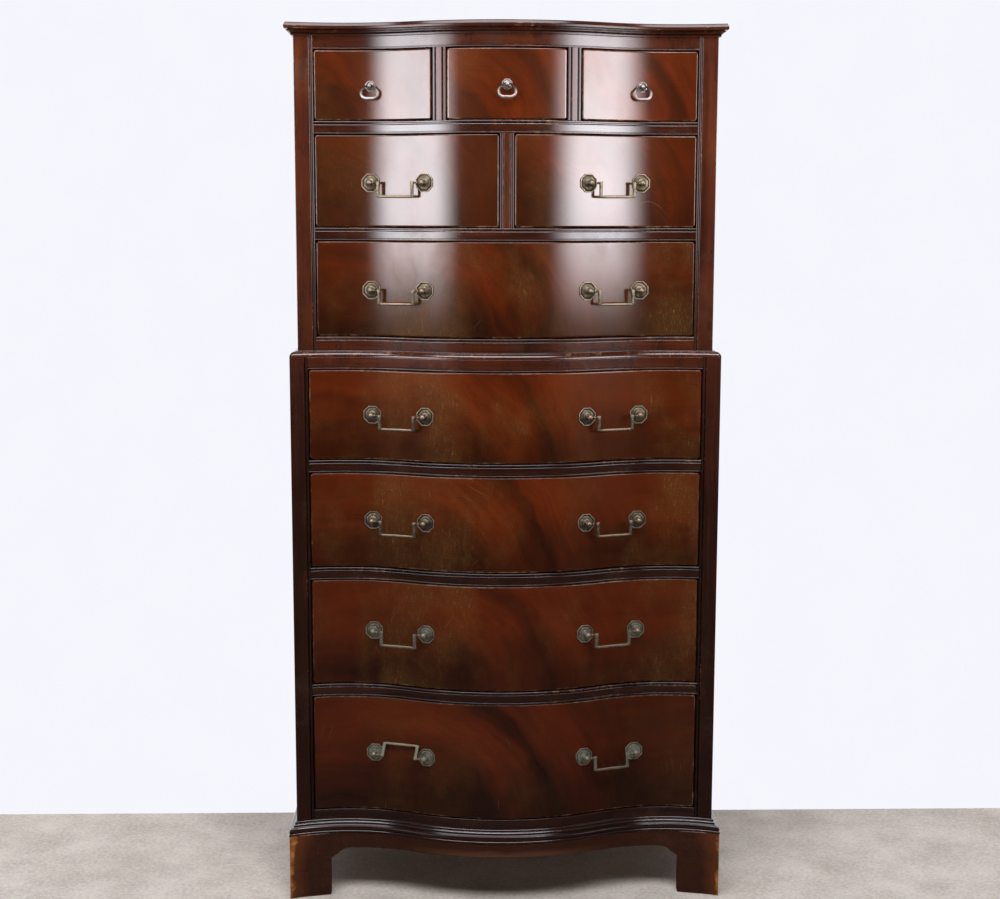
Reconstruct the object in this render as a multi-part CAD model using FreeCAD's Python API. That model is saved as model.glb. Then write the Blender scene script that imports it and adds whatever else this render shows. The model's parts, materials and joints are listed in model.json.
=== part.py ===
"""Tall chest of drawers with a serpentine front, a narrower upper case and bracket feet.

The frame has +Z up and the front towards -Y. The origin is on the floor, under the middle of the chest.
Lengths are in millimetres.
"""
import FreeCAD
import Part
import math
import os
from collections import namedtuple
from FreeCAD import Rotation, Vector

os.makedirs("parts", exist_ok=True)

# Plan of the serpentine front, on the face of the lower case
CENTRE_RADIUS = 433.0       # the swell in the middle
FLANK_RADIUS = 310.0        # the hollow on each side of it
SWELL_WIDTH = 360.0         # of the swell, between the places where it turns into the hollows

# Case widths and depths
LOWER_WIDTH = 814.0
UPPER_INSET = 14.5          # each side of the upper case stands this far inside the lower one
LOWER_STILE = 33.5
UPPER_STILE = 35.0
CASE_DEPTH = 427.0          # from the hollow of the lower front to the back
UPPER_SETBACK = 12.0        # the upper front stands this far behind the lower one
FRAME_DEPTH = 25.0          # from the hollow to the back of the face frame
SIDE_THICKNESS = 20.0
BACK_THICKNESS = 5.0
BACK_REBATE = 10.0

# Heights, from the floor up
BASE_HEIGHT = 127.0
BASE_MOULDING = 25.0
BOTTOM_RAIL = 19.0          # what shows of it above the base moulding
RAIL = 23.5                 # between two rows of drawers
ROW_7 = 230.5
ROW_6 = 207.5
ROW_5 = 185.0
ROW_4 = 173.8
LOWER_TOP_RAIL = 22.7
WAIST = 12.0
UPPER_BOTTOM_RAIL = 25.7
ROW_3 = 180.8
ROW_2 = 172.5
ROW_1 = 130.5
FRIEZE = 23.5
TOP_THICKNESS = 23.0

# Beads and mouldings
BEAD_HEIGHT = 4.0
BEAD_PROUD = 1.6
STILE_BEAD = 5.5
TOP_OVERHANG = 15.5
BASE_OVERHANG = 14.0
WAIST_ROUND = 6.0           # how far the waist moulding falls back
WAIST_STRIP = 26.0          # depth of the applied moulding, front to back
# Their outlines, going up, as shares of the overhang and of the height
TOP_PROFILE = [(0.29, 0.0), (0.42, 0.26), (1.0, 0.43), (1.0, 0.7), (0.81, 1.0)]
WAIST_PROFILE = [(0.0, 0.0), (0.0, 0.5), (-1.0, 1.0)]
BASE_PROFILE = [(1.0, 0.0), (1.0, 0.28), (0.46, 0.44), (0.29, 0.76), (0.29, 1.0)]

# Bracket base
FOOT_INSET = 1.0            # the feet stand this far inside the base moulding
BASE_BOARD = 20.0
FOOT_WIDTH = 78.0
FOOT_STRAIGHT = 73.0        # height of the upright inner edge of a foot
OGEE_REACH = 45.0           # the scroll between a foot and the apron
APRON_BOTTOM = 96.0
# Points of the two arcs of that scroll, as shares of its reach and of its height
OGEE = [(0.0, 0.0), (0.12, 0.37), (0.42, 0.5), (0.75, 0.87), (1.0, 1.0)]
BLOCK = 38.0                # corner block behind each foot

# Drawers
DRAWER_GAP = 1.6            # round a drawer front
DRAWER_SUNK = 1.0           # the drawer face lies behind the rail face
FRONT_THICKNESS = 20.0
BOX_SIDE = 12.0
BOX_BACK = 10.0
BOX_BOTTOM = 5.0
BOTTOM_RAISE = 9.0          # underside of the bottom panel above the runner
BOX_DROP = 14.0             # top of the sides below the top of the opening
BOX_CLEAR_BACK = 14.0       # between the drawer and the back panel
RUNNER_CLEARANCE = 0.3
RUNNER_WIDTH = 24.0         # what the drawer side rests on, inside the opening
RUNNER_HEIGHT = 20.0
GUIDE_HEIGHT = 18.0
STOP_SIZE = (30.0, 16.0, 6.0)
STOP_AT = 0.55              # share of the half width of the drawer, from its middle
ROW_1_MUNTIN = 25.0
ROW_1_MUNTIN_AT = 124.0
ROW_2_MUNTIN = 26.0

# Bail pulls
PULL_INNER = 152.0          # posts of a pair, from the middle of the chest
PULL_OUTER = 252.5
PIVOT_STAND = 15.2          # hinge axis ahead of the drawer face
PULL_AT = {7: 0.508, 6: 0.52, 5: 0.503, 4: 0.503, 3: 0.488, 2: 0.481}   # axis, share of the opening's height
ROSETTE_RADIUS = 18.5
SEAT_CLEARANCE = 0.02       # between the rim of a flat rosette and the hollow wood
PIN_RADIUS = 1.55
PIN_CLEARANCE = 0.05
PIN_DEPTH = 4.6
BALL_RADIUS = 6.0
BAIL_RADIUS = 2.3
LEG_INSET = 19.2            # centre of a leg from the axis of its post
BAIL_DROP = 25.0
BAIL_GAP = 0.8              # between the bail's shoulder and the post
RAISED_BAIL = "bail_7_left"
LEAN_CLEARANCE = 1.2        # between that bail, turned up, and the drawer that it leans on

# Ring pulls
RING_AT = 251.5
RING_UP = 0.487             # axis, share of the opening's height
RING_STAND = 9.5
RING_ROSETTE = 10.5
RING_BALL = 4.8
RING_RADIUS = 2.1
RING_HALF = 15.2
RING_DROP = 22.8
RING_CORNER = 9.0
RING_RUNS = 2               # straight runs in each rounded corner
RING_PIN = 2.6              # how far a ring's pin goes into its post
RING_GAP = 0.3              # between the ring's shoulder and the post

# Profiles of the posts, (radius, distance from the back of the rosette)
SIDES = 6
ROSETTE_SIDES = 8
ROSETTE = [(ROSETTE_RADIUS, 0.0), (15.5, 3.2)]
STEM = [(4.2, 3.0), (BALL_RADIUS, 12.8), (BALL_RADIUS, 17.0), (2.5, 19.5)]
RING_PLATE = [(RING_ROSETTE, 0.0), (RING_ROSETTE, 1.2), (8.0, 2.2)]
RING_STEM = [(3.4, 2.0), (3.0, 5.0), (RING_BALL, 7.5), (RING_BALL, 11.0), (2.0, 13.0)]

# Worked out from the sizes above
BALL_FLAT = BALL_RADIUS * math.cos(math.pi / SIDES)
RING_FLAT = RING_BALL * math.cos(math.pi / SIDES)
BEND = math.asin(SWELL_WIDTH / 2 / CENTRE_RADIUS)
HOLLOW_X = (CENTRE_RADIUS + FLANK_RADIUS) * math.sin(BEND)
BOW = (CENTRE_RADIUS + FLANK_RADIUS) * (1 - math.cos(BEND))
BACK_Y = (CASE_DEPTH + BOW + BASE_OVERHANG) / 2
HOLLOW_Y = BACK_Y - CASE_DEPTH
CENTRE_Y = HOLLOW_Y - BOW + CENTRE_RADIUS
FLANK_Y = HOLLOW_Y - FLANK_RADIUS
INNER_BACK_Y = BACK_Y - BACK_THICKNESS
UP = Vector(0, 0, 1)

Case = namedtuple("Case", "half opening ahead frame_y low high")
CASE_LOW = BASE_HEIGHT
OPENING_7 = BASE_HEIGHT + BASE_MOULDING + BOTTOM_RAIL
OPENING_6 = OPENING_7 + ROW_7 + RAIL
OPENING_5 = OPENING_6 + ROW_6 + RAIL
OPENING_4 = OPENING_5 + ROW_5 + RAIL
WAIST_LOW = OPENING_4 + ROW_4 + LOWER_TOP_RAIL
WAIST_HIGH = WAIST_LOW + WAIST
OPENING_3 = WAIST_HIGH + UPPER_BOTTOM_RAIL
OPENING_2 = OPENING_3 + ROW_3 + RAIL
OPENING_1 = OPENING_2 + ROW_2 + RAIL
TOP_LOW = OPENING_1 + ROW_1 + FRIEZE
TOP_HIGH = TOP_LOW + TOP_THICKNESS
OPENINGS = {7: (OPENING_7, ROW_7), 6: (OPENING_6, ROW_6), 5: (OPENING_5, ROW_5), 4: (OPENING_4, ROW_4),
            3: (OPENING_3, ROW_3), 2: (OPENING_2, ROW_2), 1: (OPENING_1, ROW_1)}
LOWER = Case(LOWER_WIDTH / 2, LOWER_WIDTH / 2 - LOWER_STILE, 0.0, HOLLOW_Y + FRAME_DEPTH,
             CASE_LOW, WAIST_LOW)
UPPER = Case(LOWER.half - UPPER_INSET, LOWER.half - UPPER_INSET - UPPER_STILE, -UPPER_SETBACK,
             HOLLOW_Y + UPPER_SETBACK + FRAME_DEPTH, WAIST_HIGH, TOP_LOW)


# The serpentine front

def turn_x(ahead):
    """Where the swell meets the hollow, on the curve that runs ahead mm in front of the lower face."""
    return (CENTRE_RADIUS + ahead) * math.sin(BEND)


def face_y(x, ahead):
    """Y of that curve at x."""
    if abs(x) <= turn_x(ahead):
        return CENTRE_Y - math.sqrt((CENTRE_RADIUS + ahead) ** 2 - x ** 2)
    return FLANK_Y + math.sqrt((FLANK_RADIUS - ahead) ** 2 - (abs(x) - HOLLOW_X) ** 2)


def face_point(x, ahead, z):
    return Vector(x, face_y(x, ahead), z)


def front_edges(x0, x1, ahead, z):
    """The arcs of that curve from x0 to x1."""
    turn = turn_x(ahead)
    stops = [x0] + [stop for stop in (-turn, turn) if x0 < stop < x1] + [x1]
    edges = []
    for a, b in zip(stops, stops[1:]):
        points = [face_point(x, ahead, z) for x in (a, (a + b) / 2, b)]
        edges.append(Part.Arc(*points).toShape())
    return edges


def plan(x0, x1, ahead, back_y, z):
    """Plan outline with the serpentine in front and a straight back."""
    corners = [face_point(x1, ahead, z), Vector(x1, back_y, z),
               Vector(x0, back_y, z), face_point(x0, ahead, z)]
    lines = [Part.makeLine(a, b) for a, b in zip(corners, corners[1:])]
    return Part.Wire(front_edges(x0, x1, ahead, z) + lines)


def board(x0, x1, ahead, back_y, low, high):
    """A board with a serpentine front edge and a straight back."""
    return Part.Face(plan(x0, x1, ahead, back_y, low)).extrude(Vector(0, 0, high - low))


def bent_board(x0, x1, ahead, behind, low, high):
    """A board whose front and back both follow the serpentine."""
    ends = [Part.makeLine(face_point(x, ahead, low), face_point(x, behind, low)) for x in (x0, x1)]
    edges = front_edges(x0, x1, ahead, low) + front_edges(x0, x1, behind, low) + ends
    return Part.Face(Part.Wire(Part.__sortEdges__(edges))).extrude(Vector(0, 0, high - low))


def box(x0, x1, y0, y1, low, high):
    return Part.makeBox(x1 - x0, y1 - y0, high - low, Vector(x0, y0, low))


def polygon(points):
    return Part.makePolygon(points + points[:1])


def prism(points, along):
    return Part.Face(polygon(points)).extrude(along)


def moulded(case, low, high, overhang, profile):
    """A board over the plan of a case, whose front and side edges are moulded."""
    wires = []
    for out_share, share in profile:
        out = out_share * overhang
        z = low + share * (high - low)
        wires.append(plan(-case.half - out, case.half + out, case.ahead + out, BACK_Y, z))
    return Part.makeLoft(wires, True, True)


def mitred(around, case, inner, outer):
    """Cut what runs round the front and sides of a case into three lengths, mitred at the corners."""
    inside = face_point(case.half + inner, case.ahead + inner, 0)
    outside = face_point(case.half + outer, case.ahead + outer, 0)
    near = inside + (inside - outside)
    far = outside + (outside - inside)
    right = [near, far, Vector(far.x, -CASE_DEPTH, 0)]
    left = [Vector(-p.x, p.y, 0) for p in reversed(right)]
    front_room = prism(right + left, Vector(0, 0, TOP_HIGH))
    return [around.common(front_room)] + around.cut(front_room).Solids


def export(name, solids):
    shape = solids[0] if len(solids) == 1 else Part.makeCompound(solids)
    shape.exportStep("parts/" + name + ".step")


# Carcass

def side_boards(case, name):
    """Left and right side board, rebated at the back for the panel."""
    outer, inner = case.half, case.half - SIDE_THICKNESS
    rebate = case.half - BACK_REBATE
    outline = [Vector(outer, case.frame_y, case.low), Vector(outer, BACK_Y, case.low),
               Vector(rebate, BACK_Y, case.low), Vector(rebate, INNER_BACK_Y, case.low),
               Vector(inner, INNER_BACK_Y, case.low), Vector(inner, case.frame_y, case.low)]
    right = prism(outline, Vector(0, 0, case.high - case.low))
    export(name + "_side_right", [right])
    export(name + "_side_left", [right.mirror(Vector(), Vector(1, 0, 0))])
    rebate_box = box(-rebate, rebate, INNER_BACK_Y, BACK_Y, case.low, case.high)
    export(name + "_back", [rebate_box])


def rail(case, low, high, beaded=True):
    """A rail between the stiles, with a proud bead along its top edge."""
    x = case.opening
    core = board(-x, x, case.ahead, case.frame_y, low, high)
    if not beaded:
        return core
    bead = bent_board(-x, x, case.ahead + BEAD_PROUD, case.ahead, high - BEAD_HEIGHT, high)
    return core.fuse(bead).removeSplitter()


def upright(case, x0, x1, low, high):
    """A stile or muntin that follows the front."""
    return board(x0, x1, case.ahead, case.frame_y, low, high)


def edge_bead(case, x0, x1, low, high):
    """A bead along the edge of a stile or muntin, beside the drawers."""
    return bent_board(x0, x1, case.ahead + BEAD_PROUD, case.ahead, low, high)


def stiles(case):
    return [upright(case, x0, x1, case.low, case.high)
            for x0, x1 in ((-case.half, -case.opening), (case.opening, case.half))]


def stile_beads(case, low, high):
    inner, outer = case.opening, case.opening + STILE_BEAD
    return [edge_bead(case, x0, x1, low, high) for x0, x1 in ((-outer, -inner), (inner, outer))]


def muntin(case, row, x, width):
    low, height = OPENINGS[row]
    high = low + height
    x0, x1 = x - width / 2, x + width / 2
    return [upright(case, x0, x1, low, high),
            edge_bead(case, x0, x0 + STILE_BEAD, low, high), edge_bead(case, x1 - STILE_BEAD, x1, low, high)]


def lower_face_frame():
    rails = [rail(LOWER, LOWER.low, OPENING_7)]
    for row in (7, 6, 5):
        low, height = OPENINGS[row]
        rails.append(rail(LOWER, low + height, low + height + RAIL))
    rails.append(rail(LOWER, OPENING_4 + ROW_4, LOWER.high, beaded=False))
    export("lower_face_frame", stiles(LOWER) + rails + stile_beads(LOWER, OPENING_7, OPENING_4 + ROW_4))


def upper_face_frame():
    rails = [rail(UPPER, UPPER.low, OPENING_3)]
    for row in (3, 2):
        low, height = OPENINGS[row]
        rails.append(rail(UPPER, low + height, low + height + RAIL))
    rails.append(rail(UPPER, OPENING_1 + ROW_1, UPPER.high, beaded=False))
    uprights = muntin(UPPER, 2, 0.0, ROW_2_MUNTIN)
    for x in (-ROW_1_MUNTIN_AT, ROW_1_MUNTIN_AT):
        uprights += muntin(UPPER, 1, x, ROW_1_MUNTIN)
    beads = stile_beads(UPPER, OPENING_3, OPENING_1 + ROW_1)
    export("upper_face_frame", stiles(UPPER) + rails + uprights + beads)


def side_runner(case, row, side):
    """Runner and guide at one side of a row: the drawer side slides in their angle."""
    wall = case.half - SIDE_THICKNESS
    runner = sorted((side * (case.opening - RUNNER_WIDTH), side * wall))
    guide = sorted((side * case.opening, side * wall))
    return runner_and_guide(case, row, runner, guide)


def middle_runner(case, row, x, width):
    """Runner with a guide along its middle, behind a muntin."""
    half, wide = width / 2, width / 2 + RUNNER_WIDTH
    return runner_and_guide(case, row, (x - wide, x + wide), (x - half, x + half))


def runner_and_guide(case, row, runner, guide):
    """The strip that carries a drawer, and on it the strip that keeps it straight."""
    low = OPENINGS[row][0]
    return [box(*runner, case.frame_y, INNER_BACK_Y, low - RUNNER_HEIGHT, low),
            box(*guide, case.frame_y, INNER_BACK_Y, low, low + GUIDE_HEIGHT)]


def drawer_stop(case, row, x):
    """Block on the rail that stops the drawer front."""
    width, depth, height = STOP_SIZE
    low = OPENINGS[row][0]
    behind = case.ahead - DRAWER_SUNK - FRONT_THICKNESS - RUNNER_CLEARANCE
    left, right = x - width / 2, x + width / 2
    y = max(face_y(edge, behind) for edge in (left, x, right))
    return box(left, right, y, y + depth, low, low + height)


def runners(case, rows):
    solids = []
    for row in rows:
        for side in (-1, 1):
            solids += side_runner(case, row, side)
        for _, x0, x1 in DRAWERS[row]:
            reach = (x1 - x0) / 2 * STOP_AT
            solids += [drawer_stop(case, row, (x0 + x1) / 2 + side * reach) for side in (-1, 1)]
    return solids


def top_board():
    """Top board with its moulded edge: a cove, a fillet and a rounded nose."""
    export("top_board", [moulded(UPPER, TOP_LOW, TOP_HIGH, TOP_OVERHANG, TOP_PROFILE)])


def waist():
    """Board between the cases and the ovolo moulding applied round its edge."""
    whole = moulded(LOWER, WAIST_LOW, WAIST_HIGH, WAIST_ROUND, WAIST_PROFILE)
    inner = board(WAIST_STRIP - LOWER.half, LOWER.half - WAIST_STRIP, LOWER.ahead - WAIST_STRIP, BACK_Y,
                  WAIST_LOW, WAIST_HIGH)
    export("waist_board", [inner])
    export("waist_moulding", mitred(whole.cut(inner), LOWER, -WAIST_STRIP, 0.0))


def base_moulding():
    """Moulding round the foot of the lower case: a fillet, a cove and a bead."""
    top = BASE_HEIGHT + BASE_MOULDING
    case = board(-LOWER.half, LOWER.half, LOWER.ahead, BACK_Y, BASE_HEIGHT, top)
    around = moulded(LOWER, BASE_HEIGHT, top, BASE_OVERHANG, BASE_PROFILE).cut(case)
    export("base_moulding", mitred(around, LOWER, 0.0, BASE_OVERHANG))


def bracket_base():
    """Three mitred boards cut to bracket feet, with corner blocks behind the feet."""
    out = BASE_OVERHANG - FOOT_INSET
    outer = LOWER.half + out
    inner = outer - BASE_BOARD
    around = board(-outer, outer, LOWER.ahead + out, BACK_Y, 0, BASE_HEIGHT)
    around = around.cut(board(-inner, inner, LOWER.ahead + out - BASE_BOARD, BACK_Y, 0, BASE_HEIGHT))
    front_corner = face_y(outer, LOWER.ahead + out)
    side_middle = (front_corner + BACK_Y) / 2
    side_half = (BACK_Y - front_corner) / 2
    front_cut = foot_cut(outer, lambda u, z: Vector(u, -CASE_DEPTH, z)).extrude(Vector(0, CASE_DEPTH, 0))
    side_cut = foot_cut(side_half, lambda u, z: Vector(-outer, side_middle + u, z))
    around = around.cut(front_cut).cut(side_cut.extrude(Vector(2 * outer, 0, 0)))
    boards = mitred(around, LOWER, out - BASE_BOARD, out)
    blocks = []
    for side in (-1, 1):
        for front in (True, False):
            x0, x1 = sorted((side * inner, side * (inner - BLOCK)))
            if front:
                block = board(x0, x1, LOWER.ahead + out - BASE_BOARD, front_corner + BASE_BOARD + BLOCK,
                              0, BASE_HEIGHT)
            else:
                block = box(x0, x1, BACK_Y - BLOCK, BACK_Y, 0, BASE_HEIGHT)
            blocks.append(block)
    export("bracket_base", boards + blocks)


def foot_cut(half, place):
    """Face of the cut-out between two feet: upright edges, an ogee at each foot, a straight apron."""
    foot = half - FOOT_WIDTH
    reach = foot - OGEE_REACH
    rise = APRON_BOTTOM - FOOT_STRAIGHT
    edges = [Part.makeLine(place(-foot, 0), place(foot, 0)),
             Part.makeLine(place(-reach, APRON_BOTTOM), place(reach, APRON_BOTTOM))]
    for side in (-1, 1):
        edges.append(Part.makeLine(place(side * foot, 0), place(side * foot, FOOT_STRAIGHT)))
        scroll = [place(side * (foot - u * OGEE_REACH), FOOT_STRAIGHT + w * rise) for u, w in OGEE]
        edges += [Part.Arc(*scroll[0:3]).toShape(), Part.Arc(*scroll[2:5]).toShape()]
    return Part.Face(Part.Wire(Part.__sortEdges__(edges)))


# Drawers

def openings_of(case, edges):
    """Left and right edge of each opening in a row, from the muntins between them."""
    stops = [-case.opening] + [x for pair in edges for x in pair] + [case.opening]
    return list(zip(stops[0::2], stops[1::2]))


ROW_1_EDGES = [(x - ROW_1_MUNTIN / 2, x + ROW_1_MUNTIN / 2) for x in (-ROW_1_MUNTIN_AT, ROW_1_MUNTIN_AT)]
ROW_2_EDGES = [(-ROW_2_MUNTIN / 2, ROW_2_MUNTIN / 2)]
DRAWERS = {1: [(name,) + span for name, span in
               zip(("drawer_1_left", "drawer_1_middle", "drawer_1_right"), openings_of(UPPER, ROW_1_EDGES))],
           2: [(name,) + span for name, span in
               zip(("drawer_2_left", "drawer_2_right"), openings_of(UPPER, ROW_2_EDGES))],
           3: [("drawer_3", -UPPER.opening, UPPER.opening)]}
for lower_row in (4, 5, 6, 7):
    DRAWERS[lower_row] = [("drawer_%d" % lower_row, -LOWER.opening, LOWER.opening)]


def drawer_front(case, row, x0, x1):
    low, height = OPENINGS[row]
    face = case.ahead - DRAWER_SUNK
    return bent_board(x0 + DRAWER_GAP, x1 - DRAWER_GAP, face, face - FRONT_THICKNESS,
                      low + DRAWER_GAP, low + height - DRAWER_GAP)


def drawer_box(case, row, x0, x1):
    """Two sides, a back and a bottom panel behind the front."""
    low, height = OPENINGS[row]
    back = case.ahead - DRAWER_SUNK - FRONT_THICKNESS
    left, right = x0 + DRAWER_GAP, x1 - DRAWER_GAP
    z0, z1 = low + RUNNER_CLEARANCE, low + height - BOX_DROP
    rear = INNER_BACK_Y - BOX_CLEAR_BACK
    panel_low = low + BOTTOM_RAISE
    panel_high = panel_low + BOX_BOTTOM
    return [board(left, left + BOX_SIDE, back, rear, z0, z1),
            board(right - BOX_SIDE, right, back, rear, z0, z1),
            box(left + BOX_SIDE, right - BOX_SIDE, rear - BOX_BACK, rear, panel_high, z1),
            board(left + BOX_SIDE, right - BOX_SIDE, back, rear, panel_low, panel_high)]


# Pulls

def seat(x, ahead, z, radius):
    """Where a flat rosette of that radius sits on the front at x: its back, and the outward normal.

    On the swell its middle touches the wood. In the hollow its rim does.
    """
    point = face_point(x, ahead, z)
    if abs(x) <= turn_x(ahead):
        return point, (point - Vector(0, CENTRE_Y, z)).normalize()
    normal = (Vector(math.copysign(HOLLOW_X, x), FLANK_Y, z) - point).normalize()
    hollow = FLANK_RADIUS - ahead
    return point + normal * (hollow - math.sqrt(hollow ** 2 - radius ** 2) + SEAT_CLEARANCE), normal


def ngon(radius, z, sides):
    """Corners of a regular polygon with a flat side towards X."""
    turns = [2 * math.pi * (k + 0.5) / sides for k in range(sides)]
    return [Vector(radius * math.cos(t), radius * math.sin(t), z) for t in turns]


def faceted(levels, sides):
    """A stem of flat facets between regular polygons, (radius, height) going up."""
    rings = [ngon(radius, z, sides) for radius, z in levels]
    faces = [Part.Face(polygon(rings[0])), Part.Face(polygon(rings[-1]))]
    for low, high in zip(rings, rings[1:]):
        for k in range(sides):
            after = (k + 1) % sides
            faces.append(Part.Face(polygon([low[k], low[after], high[after], high[k]])))
    solid = Part.Solid(Part.Shell(faces))
    solid.fix(1e-6, 1e-6, 1e-6)
    return solid


def placed(shape, origin, across, outward):
    """Move a shape so that its X runs across, its Y runs up and its Z runs outward."""
    shape.Placement = FreeCAD.Placement(origin, Rotation(across, UP, outward, "ZYX"))
    return shape


def post(point, normal, plate, stem):
    """A rosette and its post, seated on the drawer front."""
    shape = faceted(plate, ROSETTE_SIDES).fuse(faceted(stem, SIDES))
    return placed(shape, point, UP.cross(normal), normal)


def rod(points, radius):
    """A faceted bar along straight runs, mitred where they meet."""
    path = Part.makePolygon(points)
    section = polygon(ngon(radius, 0, SIDES))
    section.Placement = FreeCAD.Placement(points[0], Rotation(UP, points[1] - points[0]))
    return path.makePipeShell([section], True, False, 1)


def socket(centre, along, flat, depth):
    """Hole for a pin that goes into the flat side of a ball, seen along the pin."""
    radius = (PIN_RADIUS + PIN_CLEARANCE) / math.cos(math.pi / SIDES)
    return rod([centre + along * (flat - depth), centre + along * 2 * flat], radius)


def bail(half, place):
    """A bail with pins, shoulders, legs and a straight bar; place maps (across, up) to a point."""
    shoulder = half - BALL_FLAT - BAIL_GAP
    tip = shoulder + PIN_DEPTH
    leg = half - LEG_INSET
    corners = [(-shoulder, 0), (-leg, 0), (-leg, -BAIL_DROP), (leg, -BAIL_DROP), (leg, 0), (shoulder, 0)]
    bar = rod([place(u, w) for u, w in corners], BAIL_RADIUS)
    ends = [rod([place(side * leg, 0), place(side * tip, 0)], PIN_RADIUS) for side in (-1, 1)]
    return bar.fuse(ends)


def bail_seats(row, side, case):
    """Seats of the two posts on one flank of a drawer, and the ends of the hinge axis between them."""
    low, height = OPENINGS[row]
    z = low + PULL_AT[row] * height
    face = case.ahead - DRAWER_SUNK
    seats = [seat(x, face, z, ROSETTE_RADIUS) for x in sorted((side * PULL_INNER, side * PULL_OUTER))]
    return seats, [point + normal * PIVOT_STAND for point, normal in seats]


def lean(middle, across, leg, face):
    """How far past upright a bail turns before its bar comes to the drawer, in degrees."""
    spots = [middle + across * leg * share for share in (-1, -0.5, 0, 0.5, 1)]
    stand = min((face_y(spot.x, face) - spot.y) * abs(across.x) for spot in spots)
    return math.degrees(math.asin((stand - BAIL_RADIUS - LEAN_CLEARANCE) / BAIL_DROP))


def pull_pair(row, side, case):
    """Two posts and the bail between them, on one flank of a drawer."""
    seats, balls = bail_seats(row, side, case)
    middle = (balls[0] + balls[1]) / 2
    half = (balls[1] - balls[0]).Length / 2
    across = (balls[1] - balls[0]).normalize()
    name = "bail_%d_%s" % (row, "left" if side < 0 else "right")
    shape = bail(half, lambda u, w: middle + across * u + UP * w)
    if name == RAISED_BAIL:
        shape.rotate(middle, across, -180 - lean(middle, across, half - LEG_INSET, case.ahead - DRAWER_SUNK))
    export(name, [shape])
    posts = []
    for (point, normal), centre, inward in zip(seats, balls, (across, -across)):
        shape = post(point, normal, ROSETTE, STEM)
        posts.append(shape.cut(socket(centre, inward, BALL_FLAT, PIN_DEPTH)))
    return posts


def ring(place):
    """A small drop ring: pins, a top bar each side of the post, rounded corners and a straight bottom."""
    shoulder = RING_FLAT + RING_GAP
    bend = RING_HALF - RING_CORNER
    turns = [math.pi / 2 * k / RING_RUNS for k in range(RING_RUNS + 1)]
    upper = [(bend + RING_CORNER * math.sin(t), RING_CORNER * math.cos(t) - RING_CORNER) for t in turns]
    lower = [(u, -RING_DROP - w) for u, w in reversed(upper)]
    right = [(shoulder, 0)] + upper + lower
    left = [(-u, w) for u, w in reversed(right)]
    loop = rod([place(u, w) for u, w in right + left], RING_RADIUS)
    tip = shoulder - RING_PIN
    ends = [rod([place(side * bend, 0), place(side * tip, 0)], PIN_RADIUS) for side in (-1, 1)]
    return loop.fuse(ends)


def ring_pull(name, x, case):
    """A small post and its ring."""
    z = OPENING_1 + RING_UP * ROW_1
    point, normal = seat(x, case.ahead - DRAWER_SUNK, z, RING_ROSETTE)
    across = UP.cross(normal)
    centre = point + normal * RING_STAND
    export(name.replace("drawer", "ring"), [ring(lambda u, w: centre + across * u + UP * w)])
    shape = post(point, normal, RING_PLATE, RING_STEM)
    for along in (across, -across):
        shape = shape.cut(socket(centre, along, RING_FLAT, RING_PIN))
    return [shape]


def drawer(case, row, name, x0, x1):
    export(name + "_front", [drawer_front(case, row, x0, x1)])
    export(name + "_box", drawer_box(case, row, x0, x1))
    if row == 1:
        middle = 0.0 if x0 < 0 < x1 else math.copysign(RING_AT, x0)
        posts = ring_pull(name, middle, case)
    else:
        posts = []
        for side in (-1, 1):
            if x0 < side * PULL_INNER < x1:
                posts += pull_pair(row, side, case)
    export(name + "_posts", posts)


def main():
    side_boards(LOWER, "lower")
    side_boards(UPPER, "upper")
    lower_face_frame()
    upper_face_frame()
    floor = box(SIDE_THICKNESS - LOWER.half, LOWER.half - SIDE_THICKNESS, LOWER.frame_y, INNER_BACK_Y,
                LOWER.low, LOWER.low + SIDE_THICKNESS)
    export("lower_runners", runners(LOWER, (7, 6, 5, 4)) + [floor])
    middle = middle_runner(UPPER, 2, 0.0, ROW_2_MUNTIN)
    for x in (-ROW_1_MUNTIN_AT, ROW_1_MUNTIN_AT):
        middle += middle_runner(UPPER, 1, x, ROW_1_MUNTIN)
    export("upper_runners", runners(UPPER, (3, 2, 1)) + middle)
    top_board()
    waist()
    base_moulding()
    bracket_base()
    for row, spans in DRAWERS.items():
        case = UPPER if row <= 3 else LOWER
        for name, x0, x1 in spans:
            drawer(case, row, name, x0, x1)


main()
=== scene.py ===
"""Looks of the tall serpentine chest of drawers, built round its CAD frame.

Every front piece is first drawn flat, as (x, distance ahead of the case front, z), and one Geometry Nodes
tree then bends it round the serpentine. Lengths are in metres, those of small sections in millimetres.
"""
import json
import math
from collections import namedtuple

import bmesh
import bpy
import numpy as np
from mathutils import Matrix, Vector


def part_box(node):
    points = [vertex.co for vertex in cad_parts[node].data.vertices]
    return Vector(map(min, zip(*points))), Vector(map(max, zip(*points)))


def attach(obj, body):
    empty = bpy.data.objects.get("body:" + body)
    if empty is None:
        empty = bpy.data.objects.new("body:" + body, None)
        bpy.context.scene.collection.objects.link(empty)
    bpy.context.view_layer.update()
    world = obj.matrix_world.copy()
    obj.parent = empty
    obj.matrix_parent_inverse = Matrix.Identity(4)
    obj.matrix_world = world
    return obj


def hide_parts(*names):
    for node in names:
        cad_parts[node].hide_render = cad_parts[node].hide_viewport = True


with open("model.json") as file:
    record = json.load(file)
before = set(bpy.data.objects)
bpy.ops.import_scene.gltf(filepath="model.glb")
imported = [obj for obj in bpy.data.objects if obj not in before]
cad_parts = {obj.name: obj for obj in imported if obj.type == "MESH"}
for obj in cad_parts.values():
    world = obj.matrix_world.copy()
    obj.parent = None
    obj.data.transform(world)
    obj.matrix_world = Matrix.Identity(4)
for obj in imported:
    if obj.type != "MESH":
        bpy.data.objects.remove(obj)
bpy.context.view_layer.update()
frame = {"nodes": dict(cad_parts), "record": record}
MM = 0.001

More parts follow.
